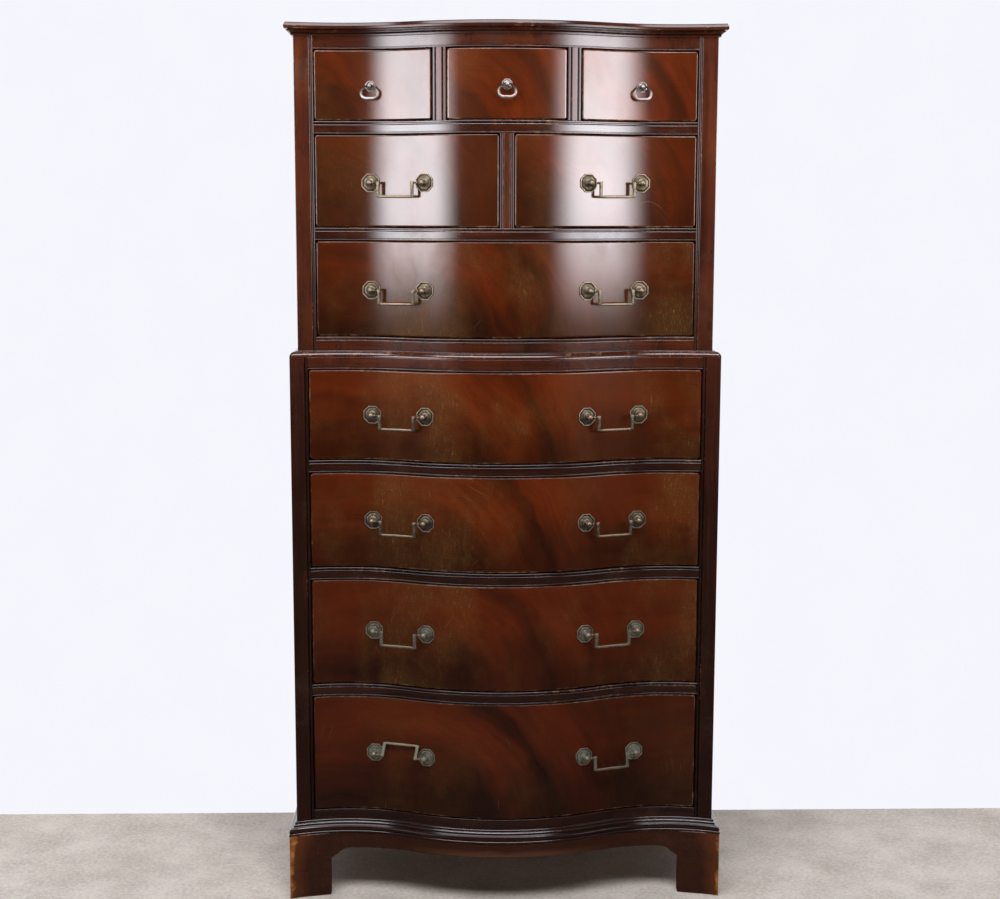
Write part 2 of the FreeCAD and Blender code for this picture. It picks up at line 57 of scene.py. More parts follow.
# Serpentine front
SWELL_RADIUS = 0.433
HOLLOW_RADIUS = 0.310
SWELL_WIDTH = 0.360
CASE_DEPTH = 0.427
UPPER_SETBACK = 0.012
BEND = math.asin(SWELL_WIDTH / 2 / SWELL_RADIUS)
HOLLOW_X = (SWELL_RADIUS + HOLLOW_RADIUS) * math.sin(BEND)
BOW = (SWELL_RADIUS + HOLLOW_RADIUS) * (1 - math.cos(BEND))
BACK_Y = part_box("lower_back")[1][1]
HOLLOW_Y = BACK_Y - CASE_DEPTH
SWELL_Y = HOLLOW_Y - BOW + SWELL_RADIUS
FLANK_Y = HOLLOW_Y - HOLLOW_RADIUS
STEP = 0.006                # between the sections of a bent piece
TOP_SECTIONS = 140          # points along the front edge of the top
SOFT = 0.0012               # width of the band in which a rounded edge runs out into a flat
MERGE = 1e-6                # points closer than this are one
SHARP_ANGLE = 40.0          # degrees from which an edge is shaded sharp

# Face frames and drawer fronts
GAP = 0.0016                # round a drawer front
FRONT_SUNK = 0.001          # drawer faces lie behind the rail faces
FRONT_THICKNESS = 0.020
FRONT_ARRIS = 0.0024
FRONT_CORNER = 0.0055
STILE_ARRIS = 0.0012
BEAD = 0.0055               # width of the upright beads
GROOVE = 0.001              # between an upright bead and its board
GROOVE_DEPTH = 0.0022
EDGE_DEPTH = 0.009          # drawn part of an upright's side, behind its face
LEAF_STEP = 0.37            # between the seeds of two leaves of veneer in a row

# Bracket base
BASE_BOARD = 0.020
FOOT_WIDTH = 0.078
FOOT_STRAIGHT = 0.073
FOOT_BLOCK = 0.036
APRON_BOTTOM = 0.096
APRON_RISE = 0.004          # the apron is higher in the middle by this much
OGEE = [(0.0, 0.0), (0.05, 0.12), (0.12, 0.23), (0.22, 0.36), (0.33, 0.49), (0.40, 0.63), (0.47, 0.76),
        (0.56, 0.86), (0.70, 0.93), (0.85, 0.98), (1.0, 1.0)]
OGEE_REACH = 0.045

# Pulls
PULL_INNER = 0.152
PULL_OUTER = 0.2525
PIVOT_STAND = 0.0152
ROSETTE = 0.0185
LEG_INSET = 0.0178
BAIL_DROP = 0.025
BAIL_BAR = 1.35             # mm, half the thickness of the bar
LEG_SQUARE = 5.0            # how square the section of a leg is: 2 is round
BAIL_LEAN = 32              # degrees that a bail's swing goes past its rest
BALL = 0.006
RING_STAND = 0.0095
RING_PLATE = 0.0105
RING_BALL = 0.0042
RING_HALF = 0.0152
RING_DROP = 0.0228
RING_PIN = 0.0026           # from the middle of the ball to the end of a pin in it

Case = namedtuple("Case", "half opening ahead frame_y low high")


def extent(node):
    """Low and high edge of a CAD node, and how far it reaches to the right."""
    low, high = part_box(node)
    return low[2], high[2], high[0]


def drawer_opening(name):
    """Left, right, low and high edge of the opening that a drawer fills."""
    low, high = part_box(name + "_front")
    return low[0] - GAP, high[0] + GAP, low[2] - GAP, high[2] + GAP


def case_of(name, drawer, ahead):
    low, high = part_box(name + "_side_right")
    return Case(high[0], drawer_opening(drawer)[1], ahead, low[1], low[2], high[2])


LOWER = case_of("lower", "drawer_7", 0.0)
UPPER = case_of("upper", "drawer_3", -UPPER_SETBACK)
ROWS = {1: ["drawer_1_left", "drawer_1_middle", "drawer_1_right"], 2: ["drawer_2_left", "drawer_2_right"],
        3: ["drawer_3"], 4: ["drawer_4"], 5: ["drawer_5"], 6: ["drawer_6"], 7: ["drawer_7"]}
UPPER_ROWS = (3, 2, 1)
LOWER_ROWS = (7, 6, 5, 4)
RING_ROW = 1


def drawer_face(row):
    """How far ahead of the lower case front a row's drawer faces lie."""
    return (UPPER if row in UPPER_ROWS else LOWER).ahead - FRONT_SUNK


def turn_x(ahead):
    """Where the swell turns into the hollow."""
    return (SWELL_RADIUS + ahead) * math.sin(BEND)


def face_y(x, ahead):
    """Y of the front at x."""
    if abs(x) <= turn_x(ahead):
        return SWELL_Y - math.sqrt((SWELL_RADIUS + ahead) ** 2 - x ** 2)
    return FLANK_Y + math.sqrt((HOLLOW_RADIUS - ahead) ** 2 - (abs(x) - HOLLOW_X) ** 2)


# Nodes

class Value:
    """A node's output that takes part in arithmetic: each operator adds a Math node."""

    def __init__(self, graph, socket):
        self.graph = graph
        self.socket = socket

    def math(self, operation, *others):
        values = dict(enumerate((self,) + others))
        return self.graph.node("ShaderNodeMath", {"operation": operation}, values)

    def other(self, output):
        """Another output of the same node."""
        return Value(self.graph, self.socket.node.outputs[output])

    def __add__(self, other):
        return self.math("ADD", other)

    def __sub__(self, other):
        return self.math("SUBTRACT", other)

    def __mul__(self, other):
        return self.math("MULTIPLY", other)

    def __truediv__(self, other):
        return self.math("DIVIDE", other)

    def __rsub__(self, other):
        return self.graph.node("ShaderNodeMath", {"operation": "SUBTRACT"}, {0: other, 1: self})

    __radd__ = __add__
    __rmul__ = __mul__


class Graph:
    """A node tree that is being written."""

    def __init__(self, tree):
        self.tree = tree

    def node(self, kind, settings=None, inputs=None, output=0):
        """Add a node: settings first, then its sockets' values or links. Gives the named output."""
        node = self.tree.nodes.new(kind)
        for name, value in (settings or {}).items():
            if name == "stops":
                ramp = node.color_ramp
                while len(ramp.elements) < len(value):
                    ramp.elements.new(1.0)
                for element, (place, colour) in zip(ramp.elements, value):
                    element.position = place
                    element.color = colour
            else:
                setattr(node, name, value)
        for name, value in (inputs or {}).items():
            if isinstance(value, Value):
                self.tree.links.new(value.socket, node.inputs[name])
            else:
                node.inputs[name].default_value = value
        return Value(self, node.outputs[output]) if len(node.outputs) else None

    def vector(self, x, y, z):
        return self.node("ShaderNodeCombineXYZ", {}, {0: x, 1: y, 2: z})

    def parts(self, vector):
        x = self.node("ShaderNodeSeparateXYZ", {}, {0: vector})
        return x, x.other(1), x.other(2)

    def noise(self, vector, scale=1.0, detail=3.0, roughness=0.55, distortion=0.0):
        return self.node("ShaderNodeTexNoise", {}, {"Vector": vector, "Scale": scale, "Detail": detail,
                                                    "Roughness": roughness, "Distortion": distortion})

    def step(self, value, low, high):
        """0 below low, 1 above high and smooth between."""
        return self.node("ShaderNodeMapRange", {"interpolation_type": "SMOOTHSTEP"},
                         {"Value": value, "From Min": low, "From Max": high})

    def ramp(self, value, *stops):
        """Colour that follows (place, colour) stops."""
        return self.node("ShaderNodeValToRGB", {"stops": stops}, {0: value})

    def curve(self, value, *stops):
        """Number that follows (place, height) stops: the alpha of a ramp."""
        return self.ramp(value, *[(place, (0, 0, 0, height)) for place, height in stops]).other("Alpha")

    def layers(self, colour, *layers):
        """Colour with others laid over it in turn, each by its share."""
        for over, share in layers:
            colour = self.node("ShaderNodeMix", {"data_type": "RGBA"}, {0: share, 6: colour, 7: over}, 2)
        return colour

    def attribute(self, name, output="Fac"):
        return self.node("ShaderNodeAttribute", {"attribute_name": name}, {}, output)

    def place(self):
        return self.node("ShaderNodeTexCoord", {}, {}, "Object")


def add_object(name, data):
    made = bpy.data.objects.new(name, data)
    bpy.context.scene.collection.objects.link(made)
    return made


def new_tree(name, inputs):
    """Geometry Nodes tree with named inputs: its graph, its input node and the inputs' identifiers."""
    tree = bpy.data.node_groups.new(name, "GeometryNodeTree")
    tree.interface.new_socket("Geometry", in_out="INPUT", socket_type="NodeSocketGeometry")
    tree.interface.new_socket("Geometry", in_out="OUTPUT", socket_type="NodeSocketGeometry")
    keys = {}
    for socket, kind in inputs.items():
        made = tree.interface.new_socket(socket, in_out="INPUT", socket_type="NodeSocket" + kind)
        keys[socket] = made.identifier
    g = Graph(tree)
    return g, g.node("NodeGroupInput"), keys


def end_tree(g, geometry, material):
    """End of a tree: real geometry of one material."""
    real = g.node("GeometryNodeRealizeInstances", {}, {"Geometry": geometry})
    done = g.node("GeometryNodeSetMaterial", {}, {"Geometry": real, "Material": material})
    g.node("NodeGroupOutput", {}, {"Geometry": done})


def through_tree(name, mesh, tree, values):
    """Plain mesh object that a tree makes of a mesh, with values given by socket identifier."""
    rough = add_object(name + "_rough", mesh)
    modifier = rough.modifiers.new("tree", "NODES")
    modifier.node_group = tree
    for key, value in values.items():
        modifier[key] = value
    shown = rough.evaluated_get(bpy.context.evaluated_depsgraph_get())
    made = bpy.data.meshes.new_from_object(shown)
    bpy.data.objects.remove(rough)
    bpy.data.meshes.remove(mesh)
    return tidy_mesh(name, made)


def tidy_mesh(name, mesh):
    """Object for a finished mesh: doubles merged, faces outward, smooth up to an angle."""
    work = bmesh.new()
    work.from_mesh(mesh)
    bmesh.ops.remove_doubles(work, verts=work.verts, dist=MERGE)
    bmesh.ops.dissolve_degenerate(work, edges=work.edges, dist=MERGE / 10)
    bmesh.ops.recalc_face_normals(work, faces=work.faces)
    work.to_mesh(mesh)
    work.free()
    mesh.shade_smooth()
    mesh.set_sharp_from_angle(angle=math.radians(SHARP_ANGLE))
    mesh.name = name
    return add_object(name, mesh)


# The bend round the serpentine

BEND_SIZES = {"Swell Radius": SWELL_RADIUS, "Hollow Radius": HOLLOW_RADIUS, "Swell Width": SWELL_WIDTH,
              "Hollow Depth": HOLLOW_Y}


def serpentine_tree():
    """Tree that bends flat pieces.

    Y is the distance ahead of the front where follow is 1, and a true Y where it is 0. The tree also keeps
    each point's place on the unrolled front as grain, for the wood.
    """
    inputs = dict.fromkeys(BEND_SIZES, "Float")
    inputs["Wood"] = "Material"
    g, geometry, keys = new_tree("serpentine_front", inputs)
    swell, hollow, width, depth = [geometry.other(name) for name in BEND_SIZES]
    x, ahead, z = g.parts(g.node("GeometryNodeInputPosition"))
    across = x.math("ABSOLUTE")
    sine = width / (swell * 2.0)
    bend = sine.math("ARCSINE")
    hollow_x = (swell + hollow) * sine
    rise = (swell + hollow) * (1.0 - bend.math("COSINE"))
    swell_y = depth - rise + swell
    flank_y = depth - hollow
    outer = swell + ahead
    inner = hollow - ahead
    off = across - hollow_x
    on_swell = swell_y - (outer * outer - x * x).math("MAXIMUM", 0.0).math("SQRT")
    on_flank = flank_y + (inner * inner - off * off).math("MAXIMUM", 0.0).math("SQRT")
    flank = across.math("GREATER_THAN", outer * sine)
    y = on_swell + (on_flank - on_swell) * flank
    follow = g.node("GeometryNodeInputNamedAttribute", {"data_type": "FLOAT"}, {"Name": "follow"})
    place = g.vector(x, ahead + (y - ahead) * follow, z)
    swell_run = swell * (x / outer).math("ARCSINE")
    flank_run = (swell * bend + hollow * (bend + (off / inner).math("ARCSINE"))) * x.math("SIGN")
    run = swell_run + (flank_run - swell_run) * flank
    grain = g.vector(x + (run - x) * follow, ahead, z)
    kept = g.node("GeometryNodeStoreNamedAttribute", {"data_type": "FLOAT_VECTOR", "domain": "POINT"},
                  {"Geometry": geometry, "Name": "grain", "Value": grain})
    bent = g.node("GeometryNodeSetPosition", {}, {"Geometry": kept, "Position": place})
    end_tree(g, bent, geometry.other("Wood"))
    return g.tree, keys


SERPENTINE, SERPENTINE_KEYS = serpentine_tree()


# Drawing of flat pieces

def unit(x, y):
    length = math.hypot(x, y)
    return x / length, y / length


def section(x, y, *corners):
    """Corners in metres, from corners (across, up, radius) in millimetres beside a point."""
    return [(x + across * MM, y + up * MM, radius * MM) for across, up, radius in corners]


def rounded(corners, steps=4, soft=SOFT):
    """Outline through (x, y, radius) corners, going anticlockwise, as (x, y, wear) points.

    Wear is 1 on a rounded outer edge, -1 in an inner corner and 0 on the flats and on sharp outer edges.
    """
    outline = []
    for k, (x, y, radius) in enumerate(corners):
        before, after = corners[k - 1], corners[(k + 1) % len(corners)]
        if not radius:
            outward = (x - before[0]) * (after[1] - y) - (y - before[1]) * (after[0] - x)
            outline.append((x, y, -1.0 if outward < 0 else 0.0))
            continue
        ax, ay = unit(before[0] - x, before[1] - y)
        bx, by = unit(after[0] - x, after[1] - y)
        half = math.acos(max(-1.0, min(1.0, ax * bx + ay * by))) / 2
        reach = radius / math.tan(half)
        mx, my = unit(ax + bx, ay + by)
        cx, cy = x + mx * radius / math.sin(half), y + my * radius / math.sin(half)
        start = math.atan2(y + ay * reach - cy, x + ax * reach - cx)
        turn = math.atan2(y + by * reach - cy, x + bx * reach - cx) - start
        turn = (turn + math.pi) % (2 * math.pi) - math.pi
        wear = 1.0 if turn > 0 else -1.0
        outline.append((x + ax * (reach + soft), y + ay * (reach + soft), 0.0))
        for i in range(steps + 1):
            angle = start + turn * i / steps
            outline.append((cx + radius * math.cos(angle), cy + radius * math.sin(angle), wear))
        outline.append((x + bx * (reach + soft), y + by * (reach + soft), 0.0))
    return outline


def spread(start, end, step=STEP):
    """Evenly spaced places from start to end."""
    return np.linspace(start, end, max(2, int(abs(end - start) / step) + 2))


def eased(start, end, radius, steps=5):
    """Places from start to end, closer together in a rounding of that radius at each end."""
    ease = [radius * (1 - math.cos(math.pi / 2 * k / steps)) for k in range(steps + 1)]
    middle = list(spread(start + radius, end - radius))[1:-1]
    return [start + e for e in ease] + middle + [end - e for e in reversed(ease)]


def tube(rings):
    """Closed skin over rings of (x, y, z, follow, wear) points: side quads and two end caps."""
    count = len(rings[0])
    points = [point for ring in rings for point in ring]
    faces = [tuple(range(count)), tuple(range(len(points) - count, len(points)))]
    for k in range(len(rings) - 1):
        a, b = k * count, (k + 1) * count
        faces += [(a + j, a + (j + 1) % count, b + (j + 1) % count, b + j) for j in range(count)]
    return points, faces


def store(mesh, name, values, kind="FLOAT", field="value"):
    """Keep a value at each point of a mesh."""
    mesh.attributes.new(name, kind, "POINT").data.foreach_set(field, values)


def flat_mesh(name, skins, leaf=None):
    """Mesh of skins, with follow and wear, and for a drawer front its leaf: middle, seed and stain."""
    points, faces = [], []
    for skin_points, skin_faces in skins:
        faces += [tuple(i + len(points) for i in face) for face in skin_faces]
        points += skin_points
    mesh = bpy.data.meshes.new(name)
    mesh.from_pydata([point[:3] for point in points], [], faces)
    store(mesh, "follow", [point[3] for point in points])
    store(mesh, "wear", [point[4] for point in points])
    if leaf:
        store(mesh, "leaf", leaf[:3] * len(points), "FLOAT_VECTOR", "vector")
        store(mesh, "stain", leaf[3:] * len(points))
    return mesh


def settle(made, body, nodes):
    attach(made, body)
    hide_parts(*nodes)


def front_piece(name, skins, wood, body, nodes, leaf=None):
    """A piece of the front, bent round the serpentine."""
    values = {SERPENTINE_KEYS[key]: size for key, size in BEND_SIZES.items()}
    values[SERPENTINE_KEYS["Wood"]] = wood
    made = through_tree(name, flat_mesh(name, skins, leaf), SERPENTINE, values)
    settle(made, body, nodes)


def case_piece(name, skins, wood, node):
    """A front piece of the carcass."""
    front_piece(name, skins, wood, "carcass", [node])


# Face frames

# Beads of the rails and quirks beside them, in millimetres from the rail's lower or upper edge
LOWER_BEAD = [(0.9, 0, 0.8), (0.9, 2.6, 0.8), (-1.0, 2.6, 0), (-1.0, 3.5, 0), (0, 3.5, 0.7)]
UPPER_BEAD = [(0, -5.4, 2.0), (-1.4, -5.4, 0), (-1.4, -4.2, 0), (1.6, -4.2, 1.4), (1.6, 0, 1.5)]
SHARP_EDGE = [(0, 0, 0)]
SOFT_EDGE = [(0, 0, 0.6)]
RAIL_BACK = (-10, 0, 0)


def rail(case, low, high, bead_above, bead_below):
    """A rail, with a bead along each edge that has a drawer beside it."""
    face = case.ahead
    corners = section(face, low, *(LOWER_BEAD if bead_below else SHARP_EDGE))
    corners += section(face, high, *(UPPER_BEAD if bead_above else SOFT_EDGE), RAIL_BACK)
    corners += section(face, low, RAIL_BACK)
    outline = rounded(corners, 3, 0.4 * MM)[:-2]
    rings = []
    for x in spread(-case.opening, case.opening):
        ring = [(x, ahead, z, 1.0, wear) for ahead, z, wear in outline]
        rings.append(ring + [(x, case.frame_y, z, 0.0, 0.0) for z in (high, low)])
    return tube(rings)


def upright(case, x0, x1, low, high):
    """A stile or muntin: a plain board with a softened arris."""
    face, behind = -case.ahead, EDGE_DEPTH - case.ahead
    corners = [(x0, face, STILE_ARRIS), (x1, face, STILE_ARRIS), (x1, behind, 0), (x0, behind, 0)]
    flat = rounded(corners, 3)[:-2]
    rings = []
    for z in (low, high):
        ring = [(x, -y, z, 1.0, wear) for x, y, wear in flat]
        rings.append(ring + [(x, case.frame_y, z, 0.0, 0.0) for x in (x1, x0)])
    return tube(rings)


def upright_bead(case, x0, x1, low, high):
    """A half-round bead beside a drawer, drawn clockwise: it counts as a hollow, so the case wood lays its
    painted quirk shade over it and it shows nearly black.
    """
    corners = section(x1, -case.ahead, (0, 1, 0), (0, -1.8, 1.7))
    corners += section(x0, -case.ahead, (0, -1.8, 1.7), (0, 1, 0))
    flat = rounded(corners, 4, 0.3 * MM)
    return tube([[(x, -y, z, 1.0, wear) for x, y, wear in flat] for z in (low, high)])


def beaded_upright(case, x0, x1, low, high, beads):
    """A muntin or stile that is narrowed for the beads at its sides, with a groove beside each bead."""
    taken = BEAD + GROOVE
    skins = [upright(case, x0 + taken * beads[0], x1 - taken * beads[1], low, high)]
    groove = case._replace(ahead=case.ahead - GROOVE_DEPTH)
    for wanted, edge in zip(beads, (x0, x1 - BEAD)):
        if wanted:
            skins.append(upright_bead(case, edge, edge + BEAD, low, high))
            left, right = min(edge, x1 - taken), max(edge + BEAD, x0 + taken)
            skins.append(upright(groove, left, right, low, high))
    return skins


def stiles(case):
    """Two stiles, with a bead along the drawers."""
    skins = []
    for side in (-1, 1):
        beads = (0, 1) if side < 0 else (1, 0)
        x0, x1 = sorted((side * case.opening, side * case.half))
        skins += beaded_upright(case, x0, x1, case.low, case.high, beads)
    return skins


def face_frame(name, case, rows, rail_wood, end_wood, stile_wood):
    """Rails and stiles of a case: the rails between its drawers are darker than those at waist and top."""
    spans = [drawer_opening(ROWS[row][0])[2:] for row in rows]
    rails, end_rails, uprights = [], [], stiles(case)
    edges = [case.low] + [z for span in spans for z in span] + [case.high]
    for k, (low, high) in enumerate(zip(edges[0::2], edges[1::2])):
        bottom_rail = case is LOWER and k == 0
        made = rail(case, low, high, bead_above=k < len(spans) and not bottom_rail, bead_below=k > 0)
        at_end = k == len(spans) or (k == 0 and not bottom_rail)
        (end_rails if at_end else rails).append(made)
    for row, (low, high) in zip(rows, spans):
        for left, right in zip(ROWS[row], ROWS[row][1:]):
            x0, x1 = drawer_opening(left)[1], drawer_opening(right)[0]
            uprights += beaded_upright(case, x0, x1, low, high, (1, 1))
    case_piece(name.replace("face_frame", "rails"), rails, rail_wood, name)
    case_piece(name.replace("face_frame", "end_rails"), end_rails, end_wood, name)
    case_piece(name.replace("face_frame", "stiles"), uprights, stile_wood, name)


# Drawer fronts

# How light each leaf of veneer is: the upper left ones are the darkest
STAIN = {"drawer_1_left": 0.30, "drawer_1_middle": 0.44, "drawer_1_right": 0.45, "drawer_2_left": 0.28,
         "drawer_2_right": 0.35, "drawer_3": 0.39, "drawer_4": 0.52, "drawer_5": 0.53, "drawer_6": 0.52,
         "drawer_7": 0.51}


def rounding(radius, end):
    """How far a rounded corner of that radius falls back at a distance from its end."""
    short = max(0.0, radius - end)
    return radius - math.sqrt(radius ** 2 - short ** 2)


def drawer_front(name, row, wood):
    """A veneered front with a softened arris all round and rounded corners."""
    x0, x1, low, high = drawer_opening(name)
    x0, x1, low, high = x0 + GAP, x1 - GAP, low + GAP, high - GAP
    face = drawer_face(row)
    back = face - FRONT_THICKNESS
    rings = []
    for x in eased(x0, x1, FRONT_CORNER):
        end = min(x - x0, x1 - x)
        inset = rounding(FRONT_CORNER, end)
        edge = face - rounding(FRONT_ARRIS, end)
        z0, z1 = low + inset, high - inset
        corners = [(edge, z0, FRONT_ARRIS), (edge, z1, FRONT_ARRIS), (back, z1, 0), (back, z0, 0)]
        worn = 1.0 if end < FRONT_ARRIS else 0.0
        rings.append([(x, ahead, z, 1.0, max(wear, worn)) for ahead, z, wear in rounded(corners)])
    seed = row + LEAF_STEP * ROWS[row].index(name)
    leaf = ((x0 + x1) / 2, (low + high) / 2, seed, STAIN[name])
    front_piece(name + "_veneered", [tube(rings)], wood, name, [name + "_front"], leaf)


# Mouldings and bracket base

def front_length(case, profile):
    """Front length of a moulding, mitred at both ends: profile points are (overhang, z, wear)."""
    rings = []
    for s in np.linspace(-1, 1, int(2 * case.half / STEP)):
        rings.append([(s * (case.half + out), case.ahead + out, z, 1.0, wear) for out, z, wear in profile])
    return tube(rings)


def side_length(case, profile, side):
    """Side return of a moulding, mitred to the front length."""
    front = []
    back = []
    for out, z, wear in profile:
        x = case.half + out
        front.append((side * x, face_y(x, case.ahead + out), z, 0.0, wear))
        back.append((side * x, BACK_Y, z, 0.0, wear))
    return tube([front, back])


def moulding(node, profile, wood):
    """A moulding round the front and sides of the lower case."""
    skins = [front_length(LOWER, profile)] + [side_length(LOWER, profile, side) for side in (-1, 1)]
    case_piece(node + "_run", skins, wood, node)


def top_board(wood):
    """The top: a slab whose front and side edges have, from below, a cove, an ovolo, a quirk and a nose."""
    low, high, right = extent("top_board")
    out = right - UPPER.half
    inner = (-200, 0, 0)
    corners = section(0, low, inner, (3.6, 0, 0), (4.2, 4.6, 3), (7.0, 6.2, 0.5), (7.0, 7.2, 0),
                      (10.6, 7.2, 1.5), (10.6, 10.2, 1.4), (8.6, 10.2, 0), (8.6, 11.2, 0))
    corners += section(out, low, (0, 11.2, 2.0), (0, 16.8, 4.5))
    corners += section(out, high, (-2.6, 0, 2.6)) + section(0, high, inner)
    rings = []
    for over, z, wear in rounded(corners, 4, 0.5 * MM)[1:-1]:
        half = UPPER.half + over
        ring = [(s * half, UPPER.ahead + over, z, 1.0, wear) for s in np.linspace(-1, 1, TOP_SECTIONS)]
        rings.append(ring + [(x, BACK_Y, z, 0.0, wear) for x in (half, -half)])
    case_piece("top_board_moulded", [tube(rings)], wood, "top_board")


def waist_moulding(wood):
    """A rounded strip that covers the step between the cases."""
    low, high, _ = extent("waist_moulding")
    corners = section(0, low, (-24, 0, 0), (0, 0, 0))
    corners += section(0, high, (0, -1.0, 9.6), (-10.4, -1.0, 0), (-10.6, 0, 0.6), (-24, 0, 0))
    moulding("waist_moulding", rounded(corners, 4, 0.4 * MM), wood)


def base_moulding(wood):
    """Base moulding: from the foot up a fillet, a quirk, a torus, a cove and a square edge."""
    low, high, right = extent("base_moulding")
    out = right - LOWER.half - 0.2 * MM
    turns = np.radians(np.linspace(-20, 34, 10))
    torus = [(10.2 * math.cos(t) - 11.0, 8.6 * math.sin(t) + 8.6, 0) for t in turns]
    corners = section(0, low, (0, 0, 0))
    corners += section(out, low, (0, 0, 0.8), (0, 4.2, 1.6), (-2.6, 5.2, 0), (-2.6, 6.2, 0), *torus,
                       (-8.4, 14.9, 0), (-8.6, 18.6, 2.4), (-10.6, 20.4, 0.4))
    corners += section(out, high, (-10.6, 0, 1.6)) + section(0, high, (0, 0, 0))
    moulding("base_moulding", rounded(corners, 4, 0.3 * MM), wood)


def foot_line(half):
    """Lower edge between two feet, as (place, height) points from one end to the other."""
    foot = half - FOOT_WIDTH
    reach = foot - OGEE_REACH
    rise = APRON_BOTTOM - FOOT_STRAIGHT
    right = [(half - u, 0.0) for u in np.linspace(0, BASE_BOARD, 5)] + [(foot, 0.0)]
    right += [(foot - u * OGEE_REACH, FOOT_STRAIGHT + w * rise) for u, w in OGEE]
    middle = []
    for u in spread(reach, -reach)[1:-1]:
        middle.append((u, APRON_BOTTOM + APRON_RISE * (1 - (u / reach) ** 2)))
    return right + middle + [(-u, z) for u, z in reversed(right)]


def apron(out, low, top):
    """Section of a base board, from its lower edge to its top."""
    back = out - BASE_BOARD
    return rounded([(back, low, 0), (out, low, 1.6 * MM), (out, top, 1.4 * MM), (back, top, 0)], 3)


def foot_blocks(outer, corner_y, top):
    """The four square blocks glued behind the feet."""
    inner = outer - BASE_BOARD
    front = face_y(inner - FOOT_BLOCK, LOWER.ahead + outer - LOWER.half - BASE_BOARD)
    for side in (-1, 1):
        x0, x1 = sorted((side * inner, side * (inner - FOOT_BLOCK)))
        for y0 in (max(front, corner_y + BASE_BOARD), BACK_Y - FOOT_BLOCK):
            y1 = y0 + FOOT_BLOCK
            plan = [(x0, y0), (x1, y0), (x1, y1), (x0, y1)]
            yield tube([[(x, y, z, 0.0, 0.0) for x, y in plan] for z in (0.0, top)])


def bracket_base(wood):
    """Three mitred boards cut to bracket feet, and the blocks behind the feet."""
    _, top, outer = extent("bracket_base")
    out = outer - LOWER.half
    corner_y = face_y(outer, LOWER.ahead + out)
    rings = []
    for u, low in foot_line(outer):
        mitre = math.copysign(max(0.0, 1 - (outer - abs(u)) / BASE_BOARD), u)
        rings.append([(u - mitre * (out - d), LOWER.ahead + d, z, 1.0, wear)
                      for d, z, wear in apron(out, low, top)])
    skins = [tube(rings)]
    middle, half = (corner_y + BACK_Y) / 2, (BACK_Y - corner_y) / 2
    for side in (-1, 1):
        rings = []
        for u, low in foot_line(half):
            mitre = max(0.0, 1 - (half + u) / BASE_BOARD)
            rings.append([(side * (LOWER.half + d), middle + u + mitre * (out - d), z, 0.0, wear)
                          for d, z, wear in apron(out, low, top)])
        skins.append(tube(rings))
    skins += foot_blocks(outer, corner_y, top)
    case_piece("bracket_base_boards", skins, wood, "bracket_base")


# Pulls

def seat(x, ahead, z, radius):
    """Back of a flat plate of that radius on the front, its outward direction and its turn about Z."""
    y = face_y(x, ahead)
    if abs(x) <= turn_x(ahead):
        normal = Vector((x, y - SWELL_Y, 0)).normalized()
        lift = 0.0
    else:
        normal = Vector((math.copysign(HOLLOW_X, x) - x, FLANK_Y - y, 0)).normalized()
        hollow = HOLLOW_RADIUS - ahead
        lift = hollow - math.sqrt(hollow ** 2 - radius ** 2)
    return Vector((x, y, z)) + normal * lift, normal, math.atan2(normal.x, -normal.y)


def fitted_x(centre, ahead):
    """Where the post under a ring's hinge centre meets the front."""
    x = centre.x
    for _ in range(6):
        point, normal, turn = seat(x, ahead, centre.z, RING_PLATE)
        x += centre.x - (point + normal * RING_STAND).x
    return x


def turned(profile, sides):
    """Turned skin: rings of (radius, height, wear) points about Z."""
    rings = []
    for radius, z, wear in profile:
        turns = [2 * math.pi * (k + 0.5) / sides for k in range(sides)]
        rings.append([(radius * math.cos(t), radius * math.sin(t), z, 0.0, wear) for t in turns])
    return tube(rings)


def ball_profile(centre, radius, start):
    """Outline of a ball from a turn below its middle, in degrees, to near its crown."""
    turns = np.radians(np.linspace(start, 88, 9))
    return [(radius * math.cos(t), centre + radius * math.sin(t), max(0.0, math.sin(t))) for t in turns]


# Turned outlines in millimetres, as (radius, height, wear)
POST_PLATE = [(18.5, 0.0, -1.0), (18.5, 1.5, 0.3), (18.2, 1.9, 1.0), (17.0, 2.1, 1.0), (16.2, 1.8, 0.2),
              (15.6, 1.1, -1.0), (14.8, 1.0, -1.0), (13.8, 1.7, 0.0), (10.0, 2.0, -0.3), (1.0, 2.0, -1.0)]
POST_DOME = [(8.6, 1.6, -1.0), (8.3, 2.7, 0.0), (7.2, 3.3, 0.5), (5.8, 3.5, 0.2), (4.9, 3.9, -0.6),
             (4.0, 5.2, -0.3), (3.4, 7.0, -0.3), (3.2, 8.6, -0.8), (3.5, 9.3, -0.3), (4.6, 9.7, 0.4),
             (4.8, 10.2, 0.2), (4.3, 10.7, -0.6)]
RING_POST_PLATE = [(10.5, 0.0, -1.0), (10.5, 1.0, 0.3), (10.1, 1.5, 1.0), (8.9, 1.7, 0.8), (8.2, 1.2, -1.0),
                   (1.0, 1.2, -1.0)]
RING_POST_STEM = [(7.0, 0.8, -1.0), (6.8, 2.0, 0.2), (5.6, 2.7, 0.4), (4.4, 3.0, -0.4), (3.4, 4.2, -0.8),
                  (3.0, 5.4, -0.9), (3.3, 6.0, -0.6)]
PLATE_SIDES = 8


def metres(outline):
    return [(radius * MM, z * MM, wear) for radius, z, wear in outline]


def post(name, plate, stem, ball, sides):
    """The post of a pull, standing on Z = 0: an eight-sided plate, a turned stem and a ball."""
    skins = [turned(metres(plate), PLATE_SIDES), turned(metres(stem) + ball, sides)]
    return bpy.data.objects.new(name, flat_mesh(name, skins))


